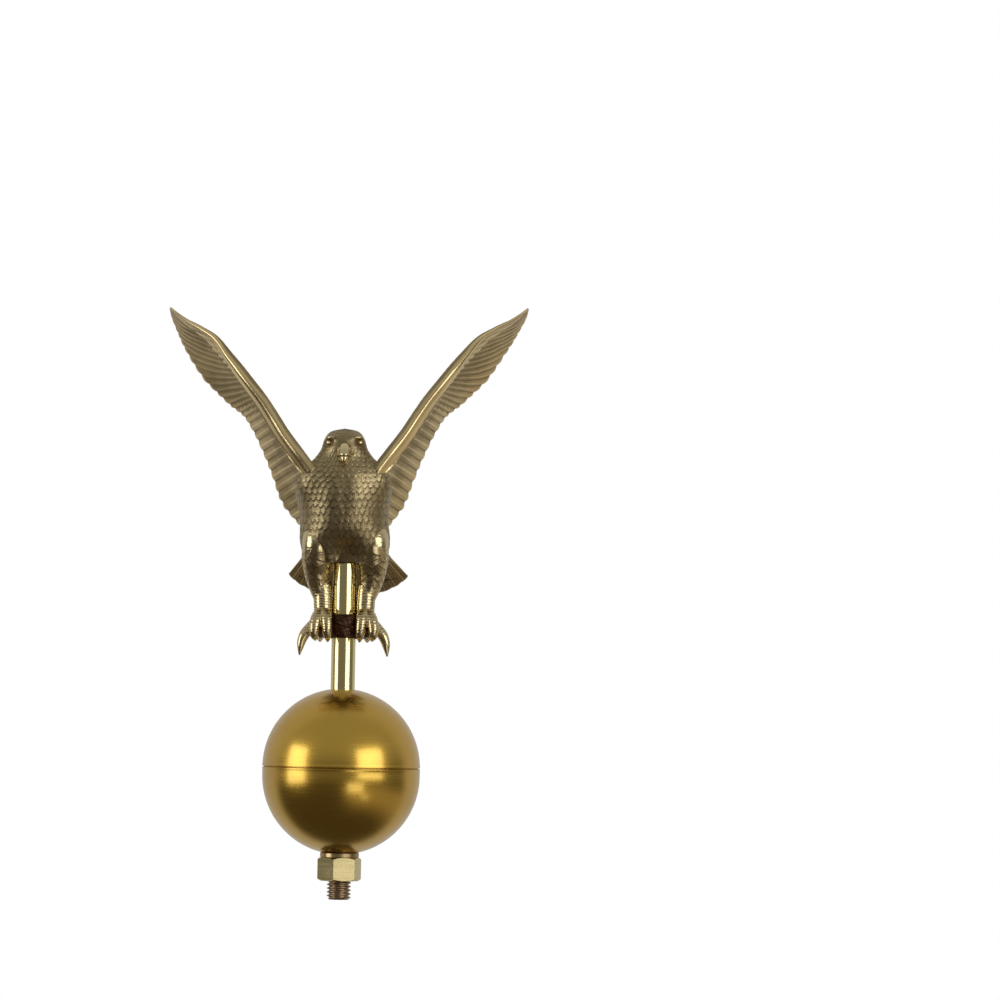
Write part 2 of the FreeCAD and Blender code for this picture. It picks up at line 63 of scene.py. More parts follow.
class Side(Enum):
    """The bird's own left and right, as the sign of X."""

    LEFT = 1
    RIGHT = -1

    @property
    def word(self) -> str:
        """The side's name in lower case."""
        return self.name.lower()


class Slot(Enum):
    """Material slot names of the record."""

    BRASS = "polished_brass"
    NUT = "nut_brass"
    GOLD = "gold_anodised"
    CAST = "antique_casting"
    PERCH = "perch_casting"


# ---- numbers -------------------------------------------------------------------------------------


def smooth_table(at: np.ndarray, places: Sequence[float], values: Sequence[float]) -> np.ndarray:
    """Reads a table smoothly, without overshoot between its rows.

    Args:
        at: where to read.
        places: rising places of the rows.
        values: the rows' values.

    Returns:
        The values at those places, by a monotone cubic.
    """
    x, y = np.asarray(places, float), np.asarray(values, float)
    step = np.diff(x)
    slope = np.diff(y) / step
    tangent = np.zeros_like(y)
    tangent[0], tangent[-1] = slope[0], slope[-1]
    same = slope[:-1] * slope[1:] > 0
    before, after = 2 * step[1:] + step[:-1], step[1:] + 2 * step[:-1]
    safe = np.where(same, slope[:-1], 1.0), np.where(same, slope[1:], 1.0)
    tangent[1:-1] = np.where(same, (before + after) / (before / safe[0] + after / safe[1]), 0.0)
    at = np.clip(at, x[0], x[-1])
    row = np.clip(np.searchsorted(x, at, side="right") - 1, 0, len(x) - 2)
    t = (at - x[row]) / step[row]
    return (
        y[row] * (1 + 2 * t) * (1 - t) ** 2
        + y[row + 1] * t**2 * (3 - 2 * t)
        + step[row] * (tangent[row] * t * (1 - t) ** 2 + tangent[row + 1] * t**2 * (t - 1))
    )


def bump(distance: np.ndarray, width: float) -> np.ndarray:
    """A bell curve of the given width, one at no distance."""
    return np.exp(-((distance / width) ** 2))


def fraction(value: np.ndarray) -> np.ndarray:
    """What is left after the whole number."""
    return value - np.floor(value)


def ease(value: np.ndarray, low: float, high: float) -> np.ndarray:
    """A smooth step from nought at low to one at high."""
    t = np.clip((value - low) / (high - low), 0.0, 1.0)
    return t * t * (3 - 2 * t)


def wobble(*waves: np.ndarray) -> np.ndarray:
    """A gentle unevenness between -1 and 1 from a few waves that never line up."""
    total = np.zeros_like(waves[0])
    for index, wave in enumerate(waves):
        total = total + np.sin(wave * (1.7 + 0.9 * index) + 1.3 * index) * np.cos(wave * 0.61 + 2.1 * index)
    return total / len(waves)


# ---- meshes --------------------------------------------------------------------------------------


def linked(item: bpy.types.Object) -> bpy.types.Object:
    """Puts an object in the scene and hands it back."""
    bpy.context.scene.collection.objects.link(item)
    return item


def note_relief(mesh: bpy.types.Mesh, relief: np.ndarray) -> None:
    """Keeps how raised each point is, nought in a cavity and one on a crest, as a point attribute."""
    layer = mesh.attributes.new(RELIEF, "FLOAT", "POINT")
    layer.data.foreach_set("value", np.clip(relief, 0, 1).astype(np.float32))


def make_object(name: str, mesh: bpy.types.Mesh, sharp: float | None = None) -> bpy.types.Object:
    """Puts a mesh in the scene, shaded smooth.

    Args:
        name: the object's name.
        mesh: its mesh.
        sharp: edges that turn by more degrees than this stay sharp.

    Returns:
        The object.
    """
    mesh.polygons.foreach_set("use_smooth", [True] * len(mesh.polygons))
    if sharp is not None:
        mesh.set_sharp_from_angle(angle=math.radians(sharp))
    return linked(bpy.data.objects.new(name, mesh))


def mesh_of(name: str, points: np.ndarray, faces: Sequence[Sequence[int]],
            relief: np.ndarray | None = None) -> bpy.types.Mesh:
    """Makes a mesh from points in millimetres.

    Args:
        name: the mesh's name.
        points: one row of X, Y, Z each.
        faces: corner numbers of each face.
        relief: how raised each point is, nought in a cavity and one on a crest.

    Returns:
        The mesh, with the relief as a point attribute.
    """
    mesh = bpy.data.meshes.new(name)
    mesh.from_pydata((points * MM).tolist(), [], list(map(list, faces)))
    if relief is not None:
        note_relief(mesh, relief)
    mesh.validate()
    return mesh


def grid_faces(rows: int, columns: int, start: int = 0) -> list[tuple[int, ...]]:
    """Quads of a grid whose columns close into a ring.

    Args:
        rows: how many rings.
        columns: points in each ring.
        start: number of the first point.

    Returns:
        The faces, facing outwards where the rings run anticlockwise seen from the last.
    """
    row = np.arange(rows - 1)[:, None] * columns + start
    here = np.arange(columns)[None, :]
    after = (here + 1) % columns
    quads = np.stack([row + here, row + after, row + after + columns, row + here + columns], axis=-1)
    return [tuple(quad) for quad in quads.reshape(-1, 4).tolist()]


def closed_grid(name: str, rings: np.ndarray, relief: np.ndarray | None = None) -> bpy.types.Mesh:
    """A closed skin through rings of points, with a fan of faces at either end.

    Args:
        name: the mesh's name.
        rings: rings by points by X, Y, Z.
        relief: rings by points, or None.

    Returns:
        The mesh.
    """
    rows, columns = rings.shape[:2]
    first, last = rings[0].mean(axis=0), rings[-1].mean(axis=0)
    points = np.vstack([rings.reshape(-1, 3), first, last])
    faces = grid_faces(rows, columns)
    low, high, top = rows * columns, rows * columns + 1, (rows - 1) * columns
    for here in range(columns):
        after = (here + 1) % columns
        faces.append((low, after, here))
        faces.append((high, top + here, top + after))
    heights = None
    if relief is not None:
        heights = np.concatenate([relief.reshape(-1), [relief[0].mean(), relief[-1].mean()]])
    return mesh_of(name, points, faces, heights)


def ring_angles(segments: int) -> np.ndarray:
    """Evenly spaced angles round a ring."""
    return np.arange(segments) * TURN / segments


def circle(radius: object, height: object, angle: np.ndarray) -> np.ndarray:
    """Points round the spindle's axis.

    Args:
        radius: one number, or one for each point.
        height: one number, or one for each point.
        angle: angle of each point.

    Returns:
        The points' X, Y, Z on the last axis.
    """
    return np.stack(np.broadcast_arrays(radius * np.cos(angle), radius * np.sin(angle), height), axis=-1)


def looped_mesh(name: str, rings: np.ndarray) -> bpy.types.Mesh:
    """A skin through rings of points, whose last ring joins the first.

    Args:
        name: the mesh's name.
        rings: rings by points by X, Y, Z.

    Returns:
        The mesh.
    """
    rows, columns = rings.shape[:2]
    total = rows * columns
    faces = [tuple(corner % total for corner in face) for face in grid_faces(rows + 1, columns)]
    return mesh_of(name, rings.reshape(-1, 3), faces)


def turned_mesh(name: str, outline: Sequence[tuple[float, float]], segments: int = 192) -> bpy.types.Mesh:
    """A shape turned round the spindle's axis.

    Args:
        name: the mesh's name.
        outline: closed outline of radius and height, anticlockwise with the radius to the right.
        segments: points round the axis.

    Returns:
        The mesh of the ring.
    """
    angle = ring_angles(segments)
    return looped_mesh(name, np.array([circle(radius, height, angle) for radius, height in outline]))


def smooth_path(points: Sequence[Sequence[float]], count: int) -> np.ndarray:
    """Points along a smooth curve through the given ones."""
    given = np.asarray(points, float)
    at = np.linspace(0, len(given) - 1, count)
    places = np.arange(len(given))
    return np.stack([smooth_table(at, places, given[:, axis]) for axis in range(given.shape[1])], axis=-1)


def tube_rings(path: np.ndarray, radii: np.ndarray, segments: int, flat: float = 1.0) -> np.ndarray:
    """Rings of a tube along a path.

    Args:
        path: points of the middle line.
        radii: radius at each point.
        segments: points round each ring.
        flat: height of the section over its width.

    Returns:
        Rings by points by X, Y, Z.
    """
    run = np.gradient(path, axis=0)
    run /= np.linalg.norm(run, axis=1)[:, None]
    side = np.cross(run[0], (0.0, 0.0, 1.0))
    if np.linalg.norm(side) < 0.2:
        side = np.cross(run[0], (0.0, 1.0, 0.0))
    angle = ring_angles(segments)
    rings = np.empty((len(path), segments, 3))
    for row, (point, ahead) in enumerate(zip(path, run)):
        side = side - ahead * side.dot(ahead)
        side /= np.linalg.norm(side)
        up = np.cross(side, ahead)
        rings[row] = point + radii[row] * (
            np.cos(angle)[:, None] * side + flat * np.sin(angle)[:, None] * up)
    return rings[:, ::-1]


def tube_mesh(name: str, points: Sequence[Sequence[float]], radii: Sequence[float], count: int = 40,
              segments: int = 28, flat: float = 1.0) -> bpy.types.Mesh:
    """A closed tube of changing radius through the given points.

    Args:
        name: the mesh's name.
        points: points of its middle line.
        radii: the radius at each.
        count: rings along it.
        segments: points round it.
        flat: height of the section over its width.

    Returns:
        The mesh.
    """
    path = smooth_path(points, count)
    along = smooth_table(np.linspace(0, len(points) - 1, count), np.arange(len(points)), radii)
    return closed_grid(name, tube_rings(path, along, segments, flat))


def joined(name: str, meshes: Sequence[bpy.types.Mesh]) -> bpy.types.Mesh:
    """One mesh that holds several.

    Args:
        name: the new mesh's name.
        meshes: what it takes in; they are removed.

    Returns:
        The mesh.
    """
    points, faces, start = [], [], 0
    for mesh in meshes:
        points.append(points_of(mesh)[0])
        faces += [tuple(start + corner for corner in face.vertices) for face in mesh.polygons]
        start += len(mesh.vertices)
        bpy.data.meshes.remove(mesh)
    return mesh_of(name, np.vstack(points), faces)


def mirrored(side: Side, points: Sequence[Point]) -> list[Point]:
    """The points of the bird's left side, moved to the given side."""
    return [(side.value * x, y, z) for x, y, z in points]


def cast_together(name: str, meshes: Sequence[bpy.types.Mesh], voxel: float,
                  smoothing: int) -> bpy.types.Mesh:
    """Fuses overlapping meshes into one skin, as a casting's forms run into each other.

    Args:
        name: the new mesh's name.
        meshes: closed meshes that overlap.
        voxel: size of the grid they are fused on, in millimetres.
        smoothing: rounds of smoothing.

    Returns:
        The fused mesh.
    """
    raw = joined(name + "_raw", meshes)
    item = linked(bpy.data.objects.new(name + "_raw", raw))
    remesh = item.modifiers.new("fuse", "REMESH")
    remesh.mode = "VOXEL"
    remesh.voxel_size = voxel * MM
    soften = item.modifiers.new("soften", "SMOOTH")
    soften.factor = 0.5
    soften.iterations = smoothing
    graph = bpy.context.evaluated_depsgraph_get()
    fused = bpy.data.meshes.new_from_object(item.evaluated_get(graph))
    fused.name = name
    bpy.data.objects.remove(item)
    bpy.data.meshes.remove(raw)
    return fused


def points_of(mesh: bpy.types.Mesh) -> tuple[np.ndarray, np.ndarray]:
    """A mesh's points in millimetres and its point normals."""
    flat, normals = np.empty(len(mesh.vertices) * 3), np.empty(len(mesh.vertices) * 3)
    mesh.vertices.foreach_get("co", flat)
    mesh.vertices.foreach_get("normal", normals)
    return flat.reshape(-1, 3) / MM, normals.reshape(-1, 3)


def move_points(mesh: bpy.types.Mesh, points: np.ndarray) -> None:
    """Sets a mesh's points to new places in millimetres."""
    mesh.vertices.foreach_set("co", (points * MM).ravel())


def raise_points(mesh: bpy.types.Mesh, height: np.ndarray, relief: np.ndarray) -> None:
    """Moves a mesh's points along their normals and notes how raised each is.

    Args:
        mesh: the mesh.
        height: distance for each point, in millimetres.
        relief: nought in a cavity, one on a crest.
    """
    points, normals = points_of(mesh)
    move_points(mesh, points + normals * height[:, None])
    note_relief(mesh, relief)
    mesh.update()


# ---- feathers ------------------------------------------------------------------------------------


@dataclass(frozen=True)
class FeatherRow:
    """One row of overlapping feathers across a surface.

    Attributes:
        end: where the feathers' shoulders end, along the surface.
        count: feathers per unit across the surface.
        bulge: how far a feather's tip passes its shoulders.
        thick: height of the step at the tip, in millimetres.
    """

    end: float
    count: float
    bulge: float
    thick: float


def shingle(across: np.ndarray, along: np.ndarray,
            rows: Sequence[FeatherRow]) -> tuple[np.ndarray, np.ndarray]:
    """Height of rows of feathers that overlap like tiles, each row over the next.

    Args:
        across: place across the feathers.
        along: place along them, from the root to the tip.
        rows: the rows, from the top one to the last.

    Returns:
        The height in millimetres, and the relief from nought in the gaps to one on the crests.
    """
    height = np.zeros_like(across)
    relief = np.full_like(across, 0.5)
    left = np.ones(across.shape, bool)
    start = 0.0
    for number, row in enumerate(rows):
        place = across * row.count + 0.5 * (number % 2)
        part = fraction(place)
        middle = np.abs(2 * part - 1)
        one = np.floor(place)
        tip = row.end + row.bulge * (1 - middle**2) + 0.12 * row.bulge * np.sin(one * 2.4 + number)
        here = left & (along < tip)
        grown = np.clip((along - start) / np.maximum(tip - start, 1e-6), 0, 1)
        quill = bump(part - 0.5, 0.07)
        gap = middle**10
        barbs = np.sin((middle * 3.2 + grown * 7.5) * TURN) * (1 - quill) * (1 - gap)
        rise = row.thick * (0.25 + 0.75 * grown**1.6) + row.thick * (
            0.28 * quill * (1 - 0.6 * grown) - 0.55 * gap + 0.20 * (part - 0.5) + 0.055 * barbs)
        shade = 0.22 + 0.55 * grown + 0.30 * quill - 0.75 * gap + 0.10 * barbs
        height = np.where(here, rise, height)
        relief = np.where(here, shade, relief)
        left &= ~here
        start = row.end
    return height, relief


# ---- finishes ------------------------------------------------------------------------------------

# depths of the fine grain and of the polishing marks, in metres
GRAIN_DEPTH = 0.0001
MARK_DEPTH = 0.00004
COAT_ROUGHNESS = 0.12
SURFACE_OUTPUTS = {"Color": "NodeSocketColor", "Roughness": "NodeSocketFloat", "Normal": "NodeSocketVector"}


class NodeKit:
    """Adds nodes to a tree and links them, in reading order."""

    def __init__(self, tree: bpy.types.NodeTree) -> None:
        """Keeps the tree."""
        self.tree = tree

    def add(self, kind: str, **settings: object) -> bpy.types.Node:
        """Adds a node and sets its properties.

        Args:
            kind: the node's type.
            settings: property names and values.

        Returns:
            The node.
        """
        node = self.tree.nodes.new(kind)
        for name, value in settings.items():
            setattr(node, name, value)
        node.location = (len(self.tree.nodes) * 180, 0)
        return node

    def join(self, source: bpy.types.NodeSocket, target: bpy.types.NodeSocket) -> None:
        """Links one socket to another."""
        self.tree.links.new(source, target)

    def feed(self, value: object, target: bpy.types.NodeSocket) -> None:
        """Links a socket to an input, or sets the input to a number or a colour."""
        if isinstance(value, bpy.types.NodeSocket):
            self.join(value, target)
        else:
            target.default_value = value

    def maths(self, work: str, first: object, second: object) -> bpy.types.NodeSocket:
        """A sum of two numbers or sockets.

        Args:
            work: the operation.
            first: a socket or a number.
            second: a socket or a number.

        Returns:
            The result's socket.
        """
        node = self.add("ShaderNodeMath", operation=work)
        self.feed(first, node.inputs[0])
        self.feed(second, node.inputs[1])
        return node.outputs[0]

    def swing(self, value: bpy.types.NodeSocket, amount: float) -> bpy.types.NodeSocket:
        """Makes a value from nought to one swing evenly either side of nought."""
        result = self.maths("MULTIPLY_ADD", value, amount)
        result.node.inputs[2].default_value = -amount / 2
        return result

    def bumps(self, distance: float, strength: bpy.types.NodeSocket,
              height: bpy.types.NodeSocket) -> bpy.types.NodeSocket:
        """Fine unevenness as a normal.

        Args:
            distance: height of the unevenness in metres.
            strength: how much of it shows.
            height: its pattern.

        Returns:
            The normal's socket.
        """
        node = self.add("ShaderNodeBump")
        node.inputs["Distance"].default_value = distance
        self.join(strength, node.inputs["Strength"])
        self.join(height, node.inputs["Height"])
        return node.outputs[0]

    def blend(self, share: object, first: object, second: object) -> bpy.types.NodeSocket:
        """A mix of two colours.

        Args:
            share: how much of the second, a socket or a number.
            first: a colour or a socket.
            second: a colour or a socket.

        Returns:
            The mixed colour's socket.
        """
        node = self.add("ShaderNodeMix", data_type="RGBA")
        for index, value in ((0, share), (6, first), (7, second)):
            self.feed(value, node.inputs[index])
        return node.outputs[2]

    def spread(self, value: bpy.types.NodeSocket, low: object, high: object,
               start: float = 0.0, end: float = 1.0) -> bpy.types.NodeSocket:
        """Maps a value from one range to another, smoothly and clamped.

        Args:
            value: what is mapped.
            low: result at start.
            high: result at end.
            start: value that gives low.
            end: value that gives high.

        Returns:
            The mapped value's socket.
        """
        node = self.add("ShaderNodeMapRange", interpolation_type="SMOOTHSTEP")
        self.join(value, node.inputs[0])
        node.inputs[1].default_value, node.inputs[2].default_value = start, end
        self.feed(low, node.inputs[3])
        self.feed(high, node.inputs[4])
        return node.outputs[0]

    def noise(self, scale: object, detail: float, stretch: Point = (1, 1, 1)) -> bpy.types.NodeSocket:
        """Noise in the object's own space.

        Args:
            scale: a number or a socket, per metre.
            detail: octaves.
            stretch: scale of each axis.

        Returns:
            The noise value's socket.
        """
        place = self.add("ShaderNodeTexCoord")
        mapping = self.add("ShaderNodeMapping")
        mapping.inputs["Scale"].default_value = stretch
        self.join(place.outputs["Object"], mapping.inputs["Vector"])
        node = self.add("ShaderNodeTexNoise")
        node.inputs["Detail"].default_value = detail
        self.join(mapping.outputs[0], node.inputs["Vector"])
        self.feed(scale, node.inputs["Scale"])
        return node.outputs[0]


class EffectGroup:
    """A shader node group with named inputs and outputs, built once and shared."""

    def __init__(self, name: str, inputs: dict[str, object], outputs: dict[str, str],
                 build: Callable[[NodeKit, dict], dict]) -> None:
        """Builds the group.

        Args:
            name: the group's name.
            inputs: input names with their defaults, a number or a colour.
            outputs: output names with their socket types.
            build: fills the tree, from the input sockets to the output sockets.
        """
        self.tree = bpy.data.node_groups.new(name, "ShaderNodeTree")
        for label, value in inputs.items():
            colour = isinstance(value, tuple)
            kind = "NodeSocketColor" if colour else "NodeSocketFloat"
            socket = self.tree.interface.new_socket(name=label, in_out="INPUT", socket_type=kind)
            socket.default_value = (*value, 1.0) if colour else value
        for label, kind in outputs.items():
            self.tree.interface.new_socket(name=label, in_out="OUTPUT", socket_type=kind)
        kit = NodeKit(self.tree)
        entry = kit.add("NodeGroupInput")
        results = build(kit, {label: entry.outputs[label] for label in inputs})
        leave = kit.add("NodeGroupOutput")
        for label, socket in results.items():
            kit.join(socket, leave.inputs[label])

    def place(self, kit: NodeKit, values: dict[str, object]) -> bpy.types.Node:
        """Puts the group in a material with its own values.

        Args:
            kit: the material's nodes.
            values: input names with numbers, colours or sockets.

        Returns:
            The group's node.
        """
        node = kit.add("ShaderNodeGroup", node_tree=self.tree)
        for label, value in values.items():
            kit.feed((*value, 1.0) if isinstance(value, tuple) else value, node.inputs[label])
        return node


def build_patina(kit: NodeKit, given: dict) -> dict:
    """Dark patina in the cavities of a casting and bright metal on its crests."""
    cloud = kit.noise(given["Cloud Scale"], 4.0)
    grain = kit.noise(given["Grain Scale"], 6.0)
    uneven = kit.swing(cloud, 0.5)
    grainy = kit.swing(grain, 0.24)
    level = kit.maths("ADD", kit.maths("ADD", given["Relief"], uneven), grainy)
    worn = kit.spread(level, 0.0, 1.0, 0.18, 0.82)
    body = kit.blend(worn, given["Cavity"], given["Crest"])
    toned = kit.blend(kit.spread(cloud, 0.0, given["Tint Share"], 0.40, 0.72), body, given["Tint"])
    rough = kit.spread(level, given["Cavity Roughness"], given["Crest Roughness"], 0.15, 0.85)
    return {"Color": toned, "Roughness": rough, "Normal": kit.bumps(GRAIN_DEPTH, given["Skin"], grain)}


def build_polish(kit: NodeKit, given: dict) -> dict:
    """Fine marks of the polishing wheel or the lathe, running round the axis, and a faint film."""
    lines = kit.noise(given["Line Scale"], 3.0, (0.04, 0.04, 1.0))
    film = kit.noise(given["Film Scale"], 5.0)
    colour = kit.blend(kit.spread(film, 0.0, given["Film Share"], 0.42, 0.75), given["Metal"], given["Film"])
    streaked = kit.maths("MULTIPLY", kit.spread(lines, 0.0, 1.0, 0.35, 0.70), given["Line Roughness"])
    hazed = kit.maths("MULTIPLY", kit.spread(film, 0.0, 1.0, 0.40, 0.80), given["Film Roughness"])
    rough = kit.maths("ADD", kit.maths("ADD", given["Roughness"], streaked), hazed)
    return {"Color": colour, "Roughness": rough, "Normal": kit.bumps(MARK_DEPTH, given["Mark"], lines)}


@dataclass(frozen=True)
class CastFinish:
    """Antique cast brass: dark in the hollows, polished on the high spots."""

    name: str
    crest: Colour
    cavity: Colour
    tint: Colour
    tint_share: float
    crest_roughness: float
    cavity_roughness: float
    cloud_scale: float = 60.0
    grain_scale: float = 2600.0
    skin: float = 0.35

    def make(self, patina: EffectGroup) -> bpy.types.Material:
        """Builds the material around the shared patina group."""
        material, kit, shader = metal_material(self.name)
        height = kit.add("ShaderNodeAttribute", attribute_name=RELIEF)
        group = patina.place(kit, {
            "Relief": height.outputs["Fac"], "Crest": self.crest, "Cavity": self.cavity, "Tint": self.tint,
            "Tint Share": self.tint_share, "Crest Roughness": self.crest_roughness,
            "Cavity Roughness": self.cavity_roughness, "Cloud Scale": self.cloud_scale,
            "Grain Scale": self.grain_scale, "Skin": self.skin,
        })
        dress(kit, group, shader)
        return material


@dataclass(frozen=True)
class PolishedFinish:
    """Turned or spun metal with fine marks round its axis."""

    name: str
    metal: Colour
    film: Colour
    film_share: float
    roughness: float
    line_roughness: float
    film_roughness: float
    line_scale: float = 900.0
    film_scale: float = 45.0
    mark: float = 0.2
    metallic: float = 1.0
    coat: float = 0.0

    def make(self, polish: EffectGroup) -> bpy.types.Material:
        """Builds the material around the shared polish group."""
        material, kit, shader = metal_material(self.name)
        shader.inputs["Metallic"].default_value = self.metallic
        shader.inputs["Coat Weight"].default_value = self.coat
        shader.inputs["Coat Roughness"].default_value = COAT_ROUGHNESS
        group = polish.place(kit, {
            "Metal": self.metal, "Film": self.film, "Film Share": self.film_share,
            "Roughness": self.roughness, "Line Roughness": self.line_roughness,
            "Film Roughness": self.film_roughness, "Line Scale": self.line_scale,
            "Film Scale": self.film_scale, "Mark": self.mark,
        })
        dress(kit, group, shader)
        return material


def metal_material(name: str) -> tuple[bpy.types.Material, NodeKit, bpy.types.Node]:
    """An empty metal material, with its nodes and its shader."""
    material = bpy.data.materials.new(name)
    material.use_nodes = True
    kit = NodeKit(material.node_tree)
    shader = material.node_tree.nodes["Principled BSDF"]
    shader.inputs["Metallic"].default_value = 1.0
    return material, kit, shader


def dress(kit: NodeKit, group: bpy.types.Node, shader: bpy.types.Node) -> None:
    """Feeds a shader from an effect group's colour, roughness and normal."""
    kit.join(group.outputs["Color"], shader.inputs["Base Color"])
    kit.join(group.outputs["Roughness"], shader.inputs["Roughness"])
    kit.join(group.outputs["Normal"], shader.inputs["Normal"])


class Finishes:
    """Every material of the finial, made once."""

    def __init__(self) -> None:
        """Builds the two effect groups and the materials."""
        patina = EffectGroup(
            "cast_patina",
            {"Relief": 0.5, "Crest": (0.6, 0.5, 0.3), "Cavity": (0.1, 0.06, 0.03), "Tint": (0.3, 0.2, 0.1),
             "Tint Share": 0.3, "Crest Roughness": 0.25, "Cavity Roughness": 0.5, "Cloud Scale": 60.0,
             "Grain Scale": 2600.0, "Skin": 0.35},
            SURFACE_OUTPUTS,
            build_patina)
        polish = EffectGroup(
            "polish_marks",
            {"Metal": (0.8, 0.7, 0.4), "Film": (0.5, 0.4, 0.2), "Film Share": 0.3, "Roughness": 0.1,
             "Line Roughness": 0.05, "Film Roughness": 0.05, "Line Scale": 900.0, "Film Scale": 45.0,
             "Mark": 0.2},
            SURFACE_OUTPUTS,
            build_polish)
        # A darker copy of the casting's one brass for breast, back, neck, crown and tail flange: painted
        # shade.
        self.feather = CastFinish(
            "antique_feather_shaded_copy", (0.46, 0.375, 0.205), (0.110, 0.074, 0.036), (0.27, 0.19, 0.10), 0.45,
            0.36, 0.50).make(patina)
        # A lighter copy of the same brass for the wings and tail fan: painted light that lifts their
        # self-shaded hollows and the fan's underside.
        self.wing = CastFinish(
            "antique_wing", (0.84, 0.66, 0.35), (0.32, 0.245, 0.12), (0.56, 0.43, 0.23), 0.40,
            0.21, 0.50).make(patina)
        self.claw = CastFinish(
            "antique_claw", (0.72, 0.60, 0.34), (0.13, 0.085, 0.040), (0.34, 0.22, 0.11), 0.30,
            0.17, 0.40).make(patina)
        # Very dark red-brown for the perch: painted shade between the feet.
        self.perch = CastFinish(
            "perch_painted_shade", (0.24, 0.125, 0.070), (0.045, 0.022, 0.014), (0.10, 0.045, 0.025), 0.50,
            0.30, 0.55).make(patina)
        self.rod = PolishedFinish(
            "rod_brass", (0.80, 0.68, 0.34), (0.66, 0.53, 0.22), 0.30, 0.10, 0.05, 0.05).make(polish)
        # A darker, duller copy of the rod's brass for the washer: painted shade under the ball.
        self.washer = PolishedFinish(
            "washer_shaded_brass", (0.46, 0.34, 0.18), (0.24, 0.14, 0.08), 0.55, 0.22, 0.08, 0.10).make(polish)
        self.thread = PolishedFinish(
            "thread_brass", (0.49, 0.38, 0.24), (0.30, 0.20, 0.13), 0.70, 0.24, 0.10, 0.12).make(polish)
        self.nut = PolishedFinish(
            "nut_bright", (0.68, 0.57, 0.285), (0.55, 0.44, 0.20), 0.35, 0.16, 0.07, 0.08).make(polish)
        self.gold = PolishedFinish(
            "gold_anodised", (0.62, 0.385, 0.058), (0.52, 0.305, 0.045), 0.45, 0.235, 0.04, 0.06,
            line_scale=1500.0, mark=0.12, coat=0.5).make(polish)
        self.zinc = PolishedFinish(
            "zinc_plate", (0.34, 0.32, 0.28), (0.22, 0.20, 0.17), 0.4, 0.32, 0.08, 0.10).make(polish)
        self.bush = PolishedFinish(
            "moulded_bush", (0.04, 0.04, 0.04), (0.07, 0.07, 0.07), 0.4, 0.5, 0.05, 0.1,
            metallic=0.0).make(polish)


# ---- placing -------------------------------------------------------------------------------------


def settle(item: bpy.types.Object, body: str, nodes: Sequence[str],
           materials: Sequence[bpy.types.Material]) -> bpy.types.Object:
    """Gives a piece its materials, its body and the nodes that it stands for.

    Args:
        item: the piece.
        body: name of the body that it rides on.
        nodes: names of the nodes that it replaces.
        materials: its materials, in slot order.

    Returns:
        The piece.
    """
    for material in materials:
        item.data.materials.append(material)
    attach(item, body)
    if nodes:
        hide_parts(*nodes)
    LOG.info("%s: %d faces on %s", item.name, len(item.data.polygons), body)
    return item


# ---- spindle, nut and washer ---------------------------------------------------------------------


@dataclass
class Spindle:
    """Half-inch rod with a real helical thread at its foot."""

    radius: float = 6.35
    pitch: float = 25.4 / 13
    end: float = -9.9
    thread_top: float = 30.0
    top: float = 204.0
    chamfer: float = 1.2
    # depth of the groove and length of its run-out, in pitches
    depth: float = 0.6134
    runout: float = 3.0
    segments: int = 96
    step: float = 0.11

    def thread_end(self) -> float:
        """Height at which the full thread begins to run out."""
        return self.thread_top - self.runout * self.pitch

    def thread_radius(self, height: np.ndarray, angle: np.ndarray) -> np.ndarray:
        """Radius of the thread's surface: flat crests, rounded roots, fading out at the top."""
        phase = np.abs(2 * fraction(height / self.pitch - angle / TURN) - 1)
        groove = ease(phase, 0.16, 0.86)
        fade = 1 - ease(height, self.thread_end(), self.thread_top)
        radius = self.radius - self.depth * self.pitch * groove * fade
        cone = self.radius - self.chamfer + (height - self.end) * 1.1
        return np.minimum(radius, np.maximum(cone, 0.5))

    def build(self, finishes: Finishes) -> None:
        """Makes the rod and gives the thread its own finish."""
        thread = np.arange(self.end, self.thread_top, self.step)
        shank = np.linspace(self.thread_top, self.top, 60)
        heights = np.concatenate([thread, shank])
        angle = ring_angles(self.segments)
        radius = self.thread_radius(heights[:, None], angle[None, :])
        mesh = closed_grid("spindle_rod", circle(radius, heights[:, None], angle))
        item = make_object("spindle_rod", mesh, sharp=50)
        settle(item, "root", ["spindle"], [finishes.rod, finishes.thread])
        limit = self.thread_end() * MM
        for face in mesh.polygons:
            face.material_index = int(face.center.z < limit)


@dataclass
class HexNut:
    """Hex nut with both ends chamfered and a countersunk bore."""

    across: float = 20.6
    height: float = 12.5
    bore: float = 6.45
    turn: float = 13.4
    # the end face's radius over the flats' distance from the axis, the chamfer's slope, the countersink
    face_share: float = 0.965
    chamfer_degrees: float = 30.0
    countersink: float = 0.9
    segments: int = 360

    def build(self, finishes: Finishes) -> None:
        """Makes the nut as rings whose outer edge follows the hexagon and the chamfer cone."""
        angle = ring_angles(self.segments)
        sixth = TURN / 6
        local = fraction((angle - math.radians(self.turn)) / sixth) * sixth - sixth / 2
        flat = self.across / 2
        wall = flat / np.cos(local)
        face = flat * self.face_share
        drop = np.maximum(wall - face, 0) * math.tan(math.radians(self.chamfer_degrees))
        mouth = self.bore + self.countersink
        outline = [
            (self.bore, self.countersink), (mouth, 0.0), (face, 0.0), (wall, drop),
            (wall, self.height - drop), (face, self.height), (mouth, self.height),
            (self.bore, self.height - self.countersink),
        ]
        mesh = looped_mesh("hex_nut", np.array([circle(radius, z, angle) for radius, z in outline]))
        item = make_object("hex_nut", mesh, sharp=24)
        settle(item, "nut", ["spindle_nut"], [finishes.nut])


